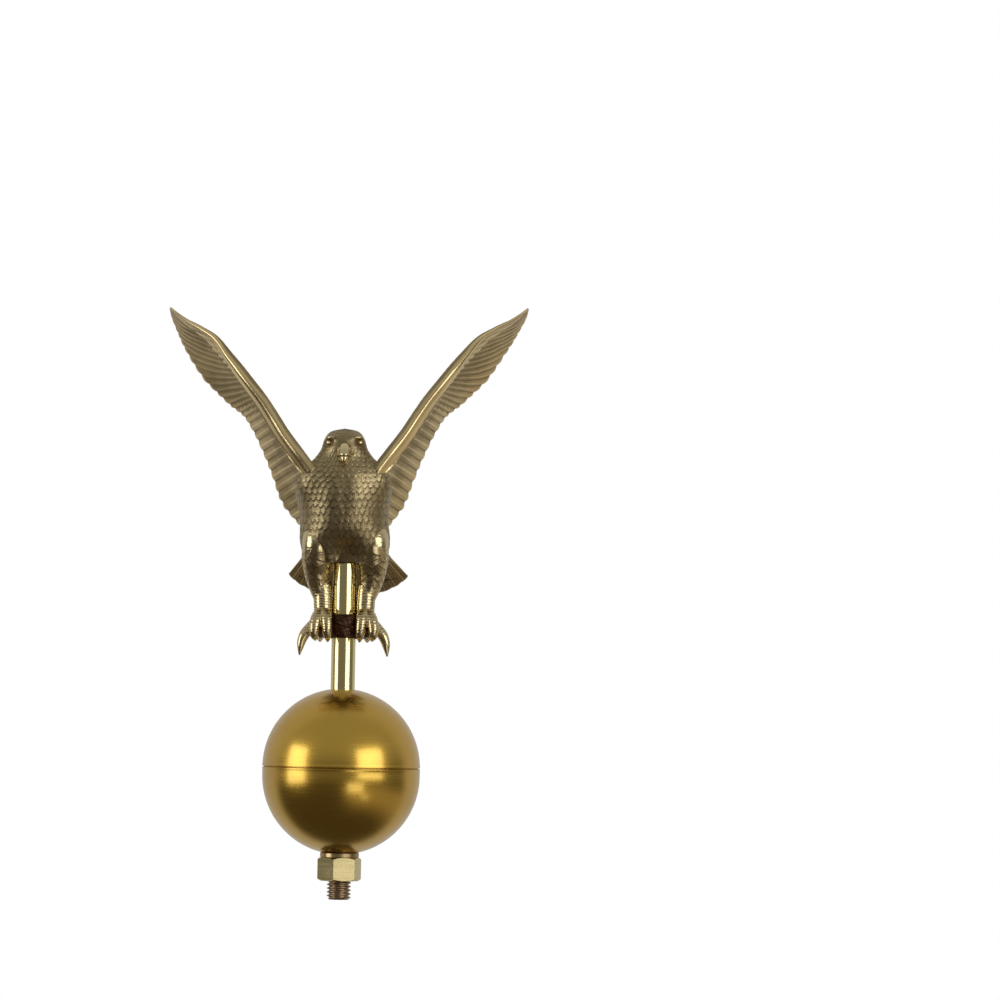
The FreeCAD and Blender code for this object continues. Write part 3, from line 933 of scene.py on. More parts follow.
@dataclass
class CupWasher:
    """Dished washer whose upper face follows the ball."""

    seat: float = 12.5
    radius: float = 10.3
    bore: float = 6.65
    ball_radius: float = 41.8
    ball_centre: float = 55.5

    def build(self, finishes: Finishes) -> None:
        """Turns the washer's outline."""
        reach = np.linspace(self.radius - 0.35, self.bore + 0.2, 12)
        dish = [(r, self.ball_centre - math.sqrt(self.ball_radius**2 - r**2)) for r in reach]
        rim = dish[0][1]
        outline = [(self.bore, self.seat), (self.radius - 0.3, self.seat), (self.radius, self.seat + 0.3),
                   (self.radius, rim - 0.35), *dish, (self.bore, dish[-1][1] - 0.1)]
        item = make_object("cup_washer", turned_mesh("cup_washer", outline, 160), sharp=30)
        settle(item, "washer", ["ball_cup_washer"], [finishes.washer])


@dataclass
class Ball:
    """Two spun shells that meet at a rolled seam."""

    radius: float = 41.65
    wall: float = 1.0
    lower_centre: float = 55.5
    seam: float = 59.9
    hole: float = 6.9
    roll: float = 0.55
    groove: float = 0.32
    # how far the lip inside the shells reaches to either side of the seam
    lip_reach: float = 3.0
    segments: int = 256

    def half(self, name: str, centre: float, sign: int, start: float, band: float) -> bpy.types.Object:
        """Turns one shell.

        Args:
            name: the piece's name.
            centre: height of the half sphere's centre.
            sign: 1 for the upper shell, -1 for the lower.
            start: lowest or highest level of its rim.
            band: height of the straight stretch beside the seam.

        Returns:
            The shell.
        """
        inner = self.radius - self.wall
        last_outer = math.acos(self.hole / self.radius)
        last_inner = math.acos(self.hole / inner)
        outside = [(self.radius * math.cos(a), centre + sign * self.radius * math.sin(a))
                   for a in np.linspace(0, last_outer, 90)]
        inside = [(inner * math.cos(a), centre + sign * inner * math.sin(a))
                  for a in np.linspace(last_inner, 0, 60)]
        edge = start + sign * self.groove / 2
        lip = [
            (inner, edge), (self.radius - 0.45, edge), (self.radius - 0.12, edge + sign * 0.06),
            (self.radius + 0.10, edge + sign * 0.28), (self.radius + 0.12, edge + sign * 0.60),
            (self.radius + 0.03, edge + sign * (0.60 + self.roll)),
        ]
        if band:
            lip += [(self.radius, start + sign * (band * share)) for share in (0.45, 0.8)]
        outline = lip + [point for point in outside if sign * (point[1] - lip[-1][1]) > 0.05] + inside
        if sign < 0:
            outline = outline[::-1]
        return make_object(name, turned_mesh(name, outline, self.segments), sharp=38)

    def build(self, finishes: Finishes) -> None:
        """Makes both shells and the lip inside them that the seam closes on."""
        upper = self.half("ball_upper_half", self.seam, 1, self.seam, 0.0)
        settle(upper, "root", ["ball_upper_shell"], [finishes.gold])
        lower = self.half("ball_lower_half", self.lower_centre, -1, self.seam, self.seam - self.lower_centre)
        settle(lower, "root", ["ball_lower_shell"], [finishes.gold])
        inner = self.radius - self.wall
        low, high = self.seam - self.lip_reach, self.seam + self.lip_reach
        lip = [(inner - 1.0, low), (inner + 0.2, low), (inner + 0.2, self.seam - 0.1),
               (inner - 0.15, self.seam + 0.1), (inner - 0.15, high), (inner - 1.0, high)]
        ring = make_object("ball_lip", turned_mesh("ball_lip", lip, self.segments), sharp=30)
        settle(ring, "root", [], [finishes.gold])


# ---- eagle ---------------------------------------------------------------------------------------

# how the casting sits on the rod: millimetres to one side, turn in radians, and the heights it eases over
SIT_ASIDE = 1.5
SIT_TURN = 0.0175
SIT_FROM = 168.0
SIT_FULL = 208.0
SIT_FADE = (276.0, 303.0)
SIT_FADE_SHARE = 0.8


def seated(points: np.ndarray) -> np.ndarray:
    """Moves part of the casting a little to one side and turns it a degree, as it sits on the rod.

    Args:
        points: places in millimetres, on the last axis.

    Returns:
        The same places, moved from the foot of the casting up and less again towards the wing tips.
    """
    x, y, z = points[..., 0], points[..., 1], points[..., 2]
    share = ease(z, SIT_FROM, SIT_FULL)
    aside = SIT_ASIDE * share * (1 - SIT_FADE_SHARE * ease(z, *SIT_FADE))
    return np.stack([x - aside, y, z + SIT_TURN * x * share], axis=-1)


@dataclass
class Trunk:
    """Breast, back, neck and head of the casting, as rings stacked from the belly to the crown."""

    # height, half width, front, back
    stations: Sequence[tuple[float, float, float, float]] = (
        (168.0, 18.6, -13.7, 16.5), (171.0, 20.6, -15.4, 18.2), (176.0, 22.0, -18.3, 19.8),
        (183.0, 22.4, -20.8, 20.6), (190.0, 22.6, -22.4, 20.2), (198.0, 23.0, -23.6, 18.6),
        (206.0, 22.9, -24.5, 15.8), (213.0, 21.4, -24.7, 12.2), (219.0, 17.8, -24.0, 8.4),
        (224.0, 13.9, -23.3, 5.0), (228.0, 11.8, -23.2, 2.6), (232.0, 10.8, -23.0, 0.4),
        (235.3, 9.1, -21.0, -2.4), (237.4, 6.3, -18.0, -5.6), (238.6, 0.25, -12.3, -11.7),
    )
    # height, degrees from the front, spread in height, spread in degrees, raise
    forms: Sequence[tuple[float, float, float, float, float]] = (
        (233.9, 36.0, 1.5, 17.0, 1.30), (231.0, 44.0, 1.5, 11.0, -1.10), (228.4, 28.0, 2.4, 16.0, 0.45),
        (176.5, 50.0, 9.0, 24.0, 1.50), (180.0, 88.0, 9.0, 22.0, 1.20), (212.5, 62.0, 11.0, 24.0, 4.20),
        (203.0, 16.0, 12.0, 16.0, 0.90), (222.0, 20.0, 4.0, 24.0, -0.60),
    )
    # arch over the spindle: height, spread in height, spread in degrees, raise
    hollow: tuple[float, float, float, float] = (174.0, 8.0, 26.0, -4.4)
    # swell behind the wings' sockets, in the same five numbers as the forms
    shoulders: tuple[float, float, float, float, float] = (207.0, 128.0, 12.0, 30.0, 5.8)
    recess_radius: float = 12.5
    recess_top: float = 182.0
    bore: float = 6.4
    bore_top: float = 204.5
    rings: int = 330
    segments: int = 264
    feathers_round: int = 42
    # feather length at the crown, growth from row to row, and the longest
    feather_length: float = 1.4
    feather_growth: float = 1.06
    feather_longest: float = 3.9
    relief_height: float = 0.36
    # height of the bare face, its spread in height and in degrees
    face: tuple[float, float, float] = (230.5, 5.5, 44.0)

    def rows(self) -> list[FeatherRow]:
        """Feather rows from the crown down: fine on the head, broad on the breast."""
        made, along, length = [], 0.0, self.feather_length
        tall = self.stations[-1][0] - self.stations[0][0]
        while along < 1.0:
            along += length / tall
            made.append(FeatherRow(along, 1.0, 0.75 * length / tall, 1.0))
            length = min(length * self.feather_growth, self.feather_longest)
        return made

    def skin(self) -> tuple[np.ndarray, np.ndarray]:
        """The outside, as rings of points and how raised each is."""
        low, high = self.stations[0][0], self.stations[-1][0]
        share = np.linspace(0, 1, self.rings)
        height = low + (high - low) * (1 - (1 - share) ** 1.35)
        table = np.array(self.stations).T
        half, front, back = (smooth_table(height, table[0], table[row]) for row in (1, 2, 3))
        angle = np.linspace(0, TURN, self.segments, endpoint=False)
        middle, depth = (front + back) / 2, (back - front) / 2
        z = np.repeat(height[:, None], self.segments, axis=1)
        turn = (angle + math.pi) % TURN - math.pi
        degrees = np.degrees(np.abs(turn))[None, :]
        raised = np.zeros_like(z)
        for level, place, tall, wide, lift in (*self.forms, self.shoulders):
            raised += lift * bump(z - level, tall) * bump(degrees - place, wide)
        level, tall, wide, lift = self.hollow
        arch = bump(z - level, tall) * bump(degrees, wide)
        raised += lift * arch
        drift = wobble(z * 0.21 + np.cos(turn), z * 0.13 + 1.5 * np.sin(turn), np.cos(turn) * 3 + z * 0.07)
        along = (high - z) / (high - low) + 0.013 * drift
        across = (angle / TURN * self.feathers_round)[None, :] + 0.85 * drift
        feather, relief = shingle(across, along, self.rows())
        level, tall, wide = self.face
        face = bump(z - level, tall) * bump(degrees, wide)
        coarse = 0.45 + 0.55 * ease(high - z, 4.0, 26.0)
        feather = feather * self.relief_height * coarse * (1 - 0.85 * face)
        relief = relief * (1 - face) + 0.55 * face
        plain = np.minimum(1.3 * arch, 1)
        # Under the belly the arch is also darkened through its relief: painted shade under the body.
        relief = relief * (1 - 0.25 * plain)
        feather = feather * (1 - 0.8 * plain)
        fade = np.clip((high - z) / 1.5, 0, 1)
        out = raised + feather * fade
        x = half[:, None] * np.sin(angle) + out * np.sin(angle)
        y = middle[:, None] - depth[:, None] * np.cos(angle) - out * np.cos(angle)
        return seated(np.stack([x, y, z], axis=-1)), relief

    def recess(self, rim: np.ndarray) -> np.ndarray:
        """Rings from the bottom rim in to the recess, up its wall and up the spindle's bore."""
        angle = np.linspace(0, TURN, self.segments, endpoint=False)
        base = self.stations[0][0]
        circles = [(self.recess_radius + 0.4, base), (self.recess_radius, base + 0.5),
                   (self.recess_radius, self.recess_top - 0.4), (self.recess_radius - 0.5, self.recess_top),
                   (self.bore + 0.3, self.recess_top), (self.bore, self.recess_top + 0.4),
                   (self.bore, self.bore_top)]
        made = [rim + (0, 0, -0.35)]
        for radius, height in circles:
            made.append(np.stack([radius * np.sin(angle), -radius * np.cos(angle),
                                  np.full(self.segments, height)], axis=-1))
        made[0] = made[0] * 0.985 + made[1] * 0.015
        return np.array(made[::-1])

    def build(self, finishes: Finishes) -> None:
        """Makes the casting's skin with its recess."""
        skin, relief = self.skin()
        recess = self.recess(skin[0])
        rings = np.concatenate([recess, skin])
        # The recess and bore under the body take a low relief, so the cavity colour paints shade into them.
        heights = np.concatenate([np.full(recess.shape[:2], 0.15), relief])
        mesh = closed_grid("eagle_trunk", rings, heights)
        item = make_object("eagle_trunk", mesh, sharp=70)
        settle(item, "root", ["eagle_body"], [finishes.feather])


@dataclass
class Head:
    """Beak, brows and eyes of the eagle."""

    beak_upper: Sequence[Point] = ((0, -18.5, 226.8), (0, -23.5, 226.8), (0, -27.4, 225.8), (0, -30.2, 223.6),
                                   (0, -31.4, 220.9), (0, -31.0, 219.0))
    beak_upper_radii: Sequence[float] = (4.2, 4.0, 3.5, 2.7, 1.4, 0.25)
    beak_lower: Sequence[Point] = ((0, -19.5, 223.0), (0, -24.5, 222.4), (0, -27.8, 221.8), (0, -29.4, 221.6))
    beak_lower_radii: Sequence[float] = (3.9, 3.2, 2.0, 0.5)
    eye: Point = (8.7, -18.9, 231.0)
    eye_radius: float = 1.55
    socket: Point = (8.4, -19.6, 231.0)
    brow: Sequence[Point] = ((5.4, -23.2, 233.4), (8.2, -20.9, 233.5), (10.2, -17.0, 232.8))
    gape: Sequence[Point] = ((2.4, -26.4, 224.2), (3.9, -23.4, 224.6), (5.4, -20.5, 225.0))
    mouth: float = 223.4

    def build(self, finishes: Finishes) -> None:
        """Makes the beak's two halves, the brows and the eyes, fused as one casting."""
        parts = [tube_mesh("beak_upper", self.beak_upper, self.beak_upper_radii, flat=1.05),
                 tube_mesh("beak_lower", self.beak_lower, self.beak_lower_radii, flat=0.6)]
        x, y, z = self.eye
        ball = ((x - 1.6, y + 1.0, z), self.eye, (x + 0.75, y - 0.5, z))
        for side in Side:
            parts.append(tube_mesh("eye", mirrored(side, ball), (self.eye_radius, self.eye_radius, 0.4),
                                   count=24, segments=24))
            parts.append(tube_mesh("brow", mirrored(side, self.brow), (0.5, 1.25, 0.5), flat=0.7))
            parts.append(tube_mesh("gape", mirrored(side, self.gape), (0.35, 0.75, 0.6)))
        mesh = cast_together("eagle_face", parts, 0.22, 3)
        points, _ = points_of(mesh)
        centres = [mirrored(side, [self.socket])[0] for side in Side]
        away = [np.linalg.norm((points - centre) * (1, 1, 1.4), axis=1) for centre in centres]
        socket = sum(bump(distance - 2.0, 0.5) for distance in away)
        mouth = bump(points[:, 2] - self.mouth, 0.35) * (points[:, 1] < -21)
        raise_points(mesh, -0.12 * socket - 0.25 * mouth, 0.82 - 0.5 * socket - 0.7 * mouth)
        move_points(mesh, seated(points_of(mesh)[0]))
        item = make_object("eagle_face", mesh)
        settle(item, "root", [], [finishes.claw])


@dataclass
class Wing:
    """One raised wing, as closed sections from the shoulder to the tip."""

    side: Side
    length: float = 117.0
    rise: float = 50.0
    shoulder: tuple[float, float] = (14.0, 220.0)
    # share of the length; upper edge, nose and lower edge as seen from the front; front; back
    stations: Sequence[tuple[float, float, float, float, float, float]] = (
        (-0.150, 15.0, 18.5, 28.6, -6.0, 32.0), (-0.060, 6.0, 10.0, 28.6, -15.5, 34.0),
        (0.000, 3.4, 8.0, 27.2, -18.5, 33.0), (0.070, 3.0, 7.2, 24.0, -18.5, 31.0),
        (0.190, 2.4, 6.4, 19.2, -17.0, 29.0), (0.310, 0.6, 4.6, 15.5, -15.5, 28.0),
        (0.390, -0.6, 3.6, 14.2, -14.8, 27.6), (0.480, -1.2, 3.2, 16.3, -13.8, 28.0),
        (0.560, -1.8, 2.8, 17.4, -12.2, 29.4), (0.640, -2.4, 2.2, 18.2, -9.0, 31.0),
        (0.740, -1.8, 1.0, 17.1, -4.0, 33.0), (0.830, 1.4, 3.4, 15.4, 2.0, 33.5),
        (0.910, 5.4, 6.6, 13.1, 9.0, 32.0), (0.965, 7.2, 7.9, 11.3, 14.5, 28.5),
        (1.000, 8.0, 8.4, 9.2, 19.0, 23.5),
    )
    arm: Sequence[tuple[float, float]] = (
        (-0.15, 2.0), (0.0, 7.4), (0.2, 7.4), (0.4, 6.8), (0.55, 6.0), (0.66, 3.8), (0.8, 1.8), (1.0, 0.8))
    plate: float = 1.5
    fairing: float = 7.0
    along_steps: int = 330
    chord_steps: int = 110
    dorsal: Sequence[FeatherRow] = (
        FeatherRow(0.17, 15, 0.030, 0.35), FeatherRow(0.25, 17, 0.040, 0.50),
        FeatherRow(0.33, 17, 0.045, 0.55), FeatherRow(0.42, 18, 0.050, 0.60),
        FeatherRow(0.54, 19, 0.055, 0.70), FeatherRow(1.20, 21, 0.060, 0.85))
    ventral: Sequence[FeatherRow] = (
        FeatherRow(0.22, 16, 0.040, 0.35), FeatherRow(0.36, 18, 0.050, 0.45),
        FeatherRow(0.50, 19, 0.055, 0.55), FeatherRow(1.20, 21, 0.060, 0.75))
    # how deep the notches between feather ends are near the root, and how much deeper near the tip
    notch: tuple[float, float] = (0.022, 0.008)
    relief_height: float = 0.5

    def sections(self) -> tuple[np.ndarray, np.ndarray]:
        """Rings of points round each section, from the trailing edge over the top and back below.

        Returns:
            The rings in millimetres and how raised each point is.
        """
        table = np.array(self.stations).T
        share = np.linspace(table[0][0], table[0][-1], self.along_steps)
        upper, nose, lower, front, back = (smooth_table(share, table[0], row)[:, None] for row in table[1:])
        arm = smooth_table(share, *np.array(self.arm).T)[:, None]
        chord = np.linspace(0, 1, self.chord_steps)[None, :] ** 1.25
        u, v = np.broadcast_arrays(share[:, None], chord)
        root = u - (0.05 + 0.30 * ease(u, 0.35, 1.0)) * v
        across = root + 0.42 * ease(root, 0.28, 0.66) + 0.004 * wobble(u * 40, u * 23)
        notch = np.abs(2 * fraction(across * self.dorsal[-1].count + 0.5) - 1) ** 1.6
        deep = self.notch[0] + self.notch[1] * ease(u, 0.55, 0.95)
        reach = 1 - deep * notch * ease(v, 0.55, 1.0)
        w = v * reach
        p, y = self.middle_line(w, upper, nose, lower, front, back)
        p_next, y_next = self.middle_line(w + 0.004, upper, nose, lower, front, back)
        fairing = self.fairing * bump(u + 0.03, 0.12) * bump(v - 0.33, 0.22)
        y, y_next = y - fairing, y_next - fairing
        run = np.stack([p_next - p, y_next - y], axis=-1)
        run /= np.linalg.norm(run, axis=-1)[..., None] + 1e-9
        swell = np.sqrt(np.clip(v / 0.10, 0, 1)) * np.exp(-((np.maximum(v - 0.10, 0) / 0.13) ** 1.5))
        thick = self.plate * (1 - 0.45 * v) * np.minimum(1, arm / 3) + arm * swell * (1 - ease(v, 0.30, 0.62))
        thick = thick * np.sqrt(np.clip(v / 0.012, 0, 1))
        smooth_arm = ease(v, 0.03, 0.085)
        over, over_relief = shingle(across, v, self.dorsal)
        under, under_relief = shingle(across, v, self.ventral)
        edge = np.sqrt(np.clip((1 - v) / 0.02, 0, 1))
        tip = 1 - 0.6 * ease(u, 0.85, 1.0)
        top = (thick / 2 + over * smooth_arm * tip * self.relief_height) * edge
        bottom = (thick / 2 + under * smooth_arm * tip * self.relief_height) * edge
        rings = []
        for sign, rise in ((-1, top), (1, bottom)):
            q = p + sign * rise * run[..., 1]
            depth = y - sign * rise * run[..., 0]
            rings.append(np.stack([q, depth, u * self.length], axis=-1))
        dorsal, ventral = rings
        ring = np.concatenate([dorsal[:, ::-1], ventral[:, 1:-1]], axis=1)
        bare = 1 - smooth_arm
        # The top feathers near the leading edge take a much lower relief and so a darker colour: painted
        # shade on the strip behind the ridge.
        over_relief = over_relief * (0.15 + 0.85 * ease(v, 0.22, 0.45))
        reliefs = [relief * smooth_arm + 1.0 * bare for relief in (over_relief, under_relief)]
        relief = np.concatenate([reliefs[0][:, ::-1], reliefs[1][:, 1:-1]], axis=1)
        return ring, relief

    @staticmethod
    def middle_line(w: np.ndarray, upper: np.ndarray, nose: np.ndarray, lower: np.ndarray,
                    front: np.ndarray, back: np.ndarray) -> tuple[np.ndarray, np.ndarray]:
        """The arched middle line of a section: from the nose up to the crest, then back and down."""
        first = (nose, front)
        second = (upper - 0.55 * (nose - upper), front + 0.10 * (back - front))
        third = (upper + 0.30 * (lower - upper), front + 0.55 * (back - front))
        last = (lower - 0.6, back)
        weights = ((1 - w) ** 3, 3 * w * (1 - w) ** 2, 3 * w**2 * (1 - w), w**3)
        return tuple(sum(weight * point[axis] for weight, point in zip(weights, (first, second, third, last)))
                     for axis in (0, 1))

    def build(self, finishes: Finishes) -> None:
        """Makes the wing and places it at its shoulder."""
        rings, relief = self.sections()
        angle = math.radians(self.rise)
        p, y, s = rings[..., 0], rings[..., 1], rings[..., 2]
        x = self.shoulder[0] + s * math.cos(angle) + p * math.sin(angle)
        z = self.shoulder[1] + s * math.sin(angle) - p * math.cos(angle)
        placed = seated(np.stack([self.side.value * x, y, z], axis=-1))
        if self.side is Side.RIGHT:
            placed, relief = placed[:, ::-1], relief[:, ::-1]
        name = f"{self.side.word}_wing_cast"
        item = make_object(name, closed_grid(name, placed, relief), sharp=80)
        settle(item, "root", [f"{self.side.word}_wing"], [finishes.wing])


@dataclass
class Tail:
    """Fan of tail feathers that slopes down behind the legs, with its flange."""

    root_y: float = 19.5
    root_z: float = 177.0
    flange_y: float = 19.6
    fall: float = 40.0
    length: float = 42.5
    corner_run: float = 21.0
    corner_half: float = 32.3
    root_half: float = 16.0
    feathers: int = 11
    lobe: float = 0.012
    coverts: Sequence[FeatherRow] = (
        FeatherRow(0.14, 8, 0.05, 0.55), FeatherRow(0.30, 9, 0.06, 0.65), FeatherRow(0.46, 10, 0.07, 0.75))
    relief_height: float = 0.6
    thick: float = 2.6
    arch: float = 3.0
    aside: float = 1.9
    across_steps: int = 190
    along_steps: int = 90

    def build(self, finishes: Finishes) -> None:
        """Makes the fan as rings across its length, and the flange that holds it."""
        sweep = self.length - self.corner_run
        centre = (sweep**2 + self.corner_half**2) / (2 * sweep)
        middle = self.length - centre
        t = np.linspace(-1, 1, self.across_steps)
        corner = math.asin(self.corner_half / centre)
        end_x, end_run = centre * np.sin(t * corner), middle + centre * np.cos(t * corner)
        place = (t + 1) / 2 * self.feathers
        lobe = np.abs(2 * fraction(place) - 1)
        shorten = 1 - self.lobe * lobe**2.2
        w = np.linspace(0, 1, self.along_steps)
        u, v = np.broadcast_arrays(t[None, :], w[:, None])
        x = self.root_half * t * (1 - v) + (end_x * shorten + self.aside) * v
        run = -4.0 * (1 - v) + end_run * shorten * v
        part = fraction(np.broadcast_to(place, u.shape))
        quill = bump(part - 0.5, 0.06)
        gap = np.abs(2 * part - 1) ** 9
        barbs = np.sin((np.abs(part - 0.5) * 9 + v * 16) * TURN)
        leaf = 0.45 * quill - 0.45 * gap + 0.35 * (part - 0.5) * np.sign(-u) + 0.04 * barbs
        coverts, covert_relief = shingle((u + 1) / 2, v, self.coverts)
        leafy = v > 0.46 + 0.07 * (1 - np.abs(2 * fraction((u + 1) / 2 * 10) - 1) ** 2)
        surface = np.where(leafy, leaf, coverts)
        relief = np.where(leafy, 0.55 + 0.3 * quill - 0.6 * gap + 0.08 * barbs, covert_relief)
        edge = np.sqrt(np.clip((1 - v) / 0.03, 0, 1)) * np.sqrt(np.clip((1 - np.abs(u)) / 0.03, 0, 1))
        body = self.thick / 2 * (1 - 0.35 * v)
        bow = -self.arch * (u**2) * (0.3 + 0.7 * v)
        rise = (body + self.relief_height * surface) * edge
        top, bottom = bow + rise, bow - rise
        upper = np.stack([x, run, top], axis=-1)
        under = np.stack([x, run, bottom], axis=-1)[:, ::-1]
        rings = np.concatenate([upper, under[:, 1:-1]], axis=1)
        reliefs = np.concatenate([relief, relief[:, ::-1][:, 1:-1]], axis=1)
        angle = math.radians(self.fall)
        placed = np.stack([
            rings[..., 0],
            self.root_y + rings[..., 1] * math.cos(angle) + (rings[..., 2] + 1.5) * math.sin(angle),
            self.root_z - rings[..., 1] * math.sin(angle) + (rings[..., 2] + 1.5) * math.cos(angle),
        ], axis=-1)
        skin = closed_grid("tail_feathers", placed[:, ::-1], reliefs[:, ::-1])
        fan = make_object("tail_feathers", skin, sharp=80)
        settle(fan, "root", ["tail_fan"], [finishes.wing])
        top_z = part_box("tail_fan")[1][2] / MM - 0.2
        path = [(0, self.flange_y, z) for z in (self.root_z - 3, self.root_z + 5, top_z)]
        flange = tube_mesh("tail_flange", path, (9.5, 10.0, 8.5), count=30, segments=48, flat=0.16)
        seat = make_object("tail_flange", cast_together("tail_flange", [flange], 0.35, 6))
        settle(seat, "root", [], [finishes.feather])


@dataclass
class Leg:
    """Feathered thigh, bare shank and a foot of four clawed toes."""

    side: Side
    ankle: Point = (11.0, -1.6, 142.5)
    thigh: Sequence[Point] = (
        (13.6, -1.0, 190.0), (14.2, -5.4, 184.5), (14.6, -8.0, 179.0), (14.9, -5.2, 171.0),
        (14.6, -2.4, 163.0), (13.6, -1.2, 155.5), (12.2, -1.4, 149.5))
    thigh_radii: Sequence[float] = (5.5, 7.4, 8.0, 8.0, 6.8, 5.5, 4.3)
    shank: Sequence[Point] = (
        (11.85, -1.2, 156.0), (11.35, -1.5, 150.0), (11.15, -1.6, 145.5), (10.95, -1.6, 141.0))
    shank_radii: Sequence[float] = (4.8, 5.05, 5.05, 4.9)
    # knuckles and claw of each toe, from the ankle
    toes: Sequence[Sequence[Point]] = (
        ((0, 0, -3), (3.2, -1.6, -5.6), (6.6, -2.8, -9.2), (9.8, -3.6, -13.0), (11.4, -3.9, -17.4),
         (12.2, -4.1, -23.8)),
        ((0, 0, -2), (2.4, -5.6, -2.4), (4.0, -9.0, -5.8), (4.6, -9.9, -10.2), (4.4, -9.3, -13.4),
         (3.8, -7.8, -16.0)),
        ((0, 0, -2), (-1.0, -6.0, -2.0), (-1.8, -9.4, -5.2), (-2.2, -10.0, -9.6), (-2.4, -9.4, -13.2),
         (-2.6, -7.8, -16.6)),
        ((0, 0, -2), (1.0, 5.6, -2.6), (1.6, 9.0, -6.2), (1.8, 9.6, -10.6), (1.6, 8.8, -13.8),
         (1.4, 7.2, -16.4)),
    )
    toe_radii: Sequence[float] = (3.7, 3.2, 3.1, 2.8, 2.2, 0.45)
    feather_rows: int = 12
    scute_pitch: float = 1.5
    scute_depth: float = 0.16

    def build(self, finishes: Finishes) -> None:
        """Makes thigh, shank and foot, fused as one casting, then raises feathers and scutes."""
        parts = [tube_mesh("thigh", mirrored(self.side, self.thigh), self.thigh_radii, segments=40),
                 tube_mesh("shank", mirrored(self.side, self.shank), self.shank_radii)]
        ankle = np.array(self.ankle)
        pad = [tuple(ankle + (0, 0, 2.5)), tuple(ankle + (0.4, -0.8, -1.5)), tuple(ankle + (0.8, -1.4, -5.5))]
        parts.append(tube_mesh("pad", mirrored(self.side, pad), (4.0, 4.7, 4.2)))
        for toe in self.toes:
            path = [tuple(ankle + point) for point in toe]
            parts.append(tube_mesh("toe", mirrored(self.side, path), self.toe_radii, count=60, segments=22))
        name = f"{self.side.word}_leg_cast"
        mesh = cast_together(name, parts, 0.36, 2)
        points, _ = points_of(mesh)
        x, y, z = points[:, 0] * self.side.value, points[:, 1], points[:, 2]
        angle = np.arctan2(x - smooth_table(z, (142, 156, 171, 186), (11.0, 13.4, 16.4, 15.0)), -(y + 1.6))
        feathered = ease(z, 151.0, 157.0)
        along = (188 - z) / 40
        rows = [FeatherRow(0.085 * (row + 1), 9, 0.055, 0.5) for row in range(self.feather_rows)]
        feather, relief = shingle(angle / TURN + 0.03 * np.sin(z * 0.8), along, rows)
        uneven = 0.35 * wobble(angle * 3 + z * 0.9, angle * 2)
        scutes = np.abs(2 * fraction(z / self.scute_pitch + uneven) - 1) ** 3
        bare = 1 - feathered
        claw = ease(ankle[2] - z, 9.0, 14.0)
        # polished gives the front of each thigh flatter feathers, crest roughness and crest colour: smoother
        # metal, and a painted highlight on the knee.
        polished = bump(z - 180, 7.0) * ease(-y, 6.0, 13.0)
        scutes = scutes * (1 - claw)
        height = feathered * feather * (0.55 - 0.35 * polished) - bare * self.scute_depth * scutes
        relief = feathered * (relief + (0.95 - relief) * 0.8 * polished) + bare * (0.74 - 0.34 * scutes)
        raise_points(mesh, height, relief)
        item = make_object(name, mesh)
        settle(item, "root", [f"{self.side.word}_leg"], [finishes.claw])


@dataclass
class Perch:
    """Cross piece between the feet, cast like a short length of rock; its dark colour is painted shade."""

    height: float = 134.5
    half: float = 13.4
    hub: float = 9.4
    hub_half: float = 6.3

    def build(self, finishes: Finishes) -> None:
        """Makes the bar and the hub as one rough casting."""
        bar = tube_mesh("bar", [(-self.half, 0, self.height), (-7, -0.3, self.height), (0, -0.5, self.height),
                                (7, -0.3, self.height), (self.half, 0, self.height)],
                        (6.3, 6.7, 6.9, 6.7, 6.3), count=50, segments=40)
        hub = tube_mesh("hub", [(0, 0, self.height - self.hub_half), (0, 0, self.height - 4),
                                (0, 0, self.height + 4), (0, 0, self.height + self.hub_half)],
                        (self.hub - 0.8, self.hub, self.hub, self.hub - 1.2), count=40, segments=48)
        mesh = cast_together("perch_rock", [bar, hub], 0.45, 4)
        points, _ = points_of(mesh)
        x, y, z = points.T
        lumps = wobble(x * 0.9 + z * 0.4, y * 0.8 - z * 0.7, z * 1.1 + x * 0.3, x * 1.9 - y * 1.3)
        ridges = np.abs(wobble(x * 2.2 + y, z * 2.6 - x, y * 2.4 + z))
        raise_points(mesh, 0.35 * lumps - 0.27 * ridges, 0.5 + 0.5 * lumps - 0.6 * ridges)
        item = make_object("perch_rock", mesh)
        settle(item, "root", ["perch_collar"], [finishes.perch])


class Hardware:
    """Fasteners and the bush, whose shapes the frame already has: they only get their finish."""

    ZINC = ("ball_inner_nut", "ball_inner_washer", "eagle_lock_nut", "eagle_lock_washer", "wing_set_screws",
            "wing_dowels", "tail_screws", "leg_pins", "foot_screws", "perch_set_screw")
    PLASTIC = ("ball_top_grommet",)

    def build(self, finishes: Finishes) -> None:
        """Dresses each node in zinc plate or moulded plastic."""
        for names, material in ((self.ZINC, finishes.zinc), (self.PLASTIC, finishes.bush)):
            for name in names:
                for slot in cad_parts[name].material_slots:
                    slot.material = material
                LOG.info("%s: dressed as %s", name, material.name)


# ---- studio --------------------------------------------------------------------------------------

Glow = tuple[float, float, float, float]


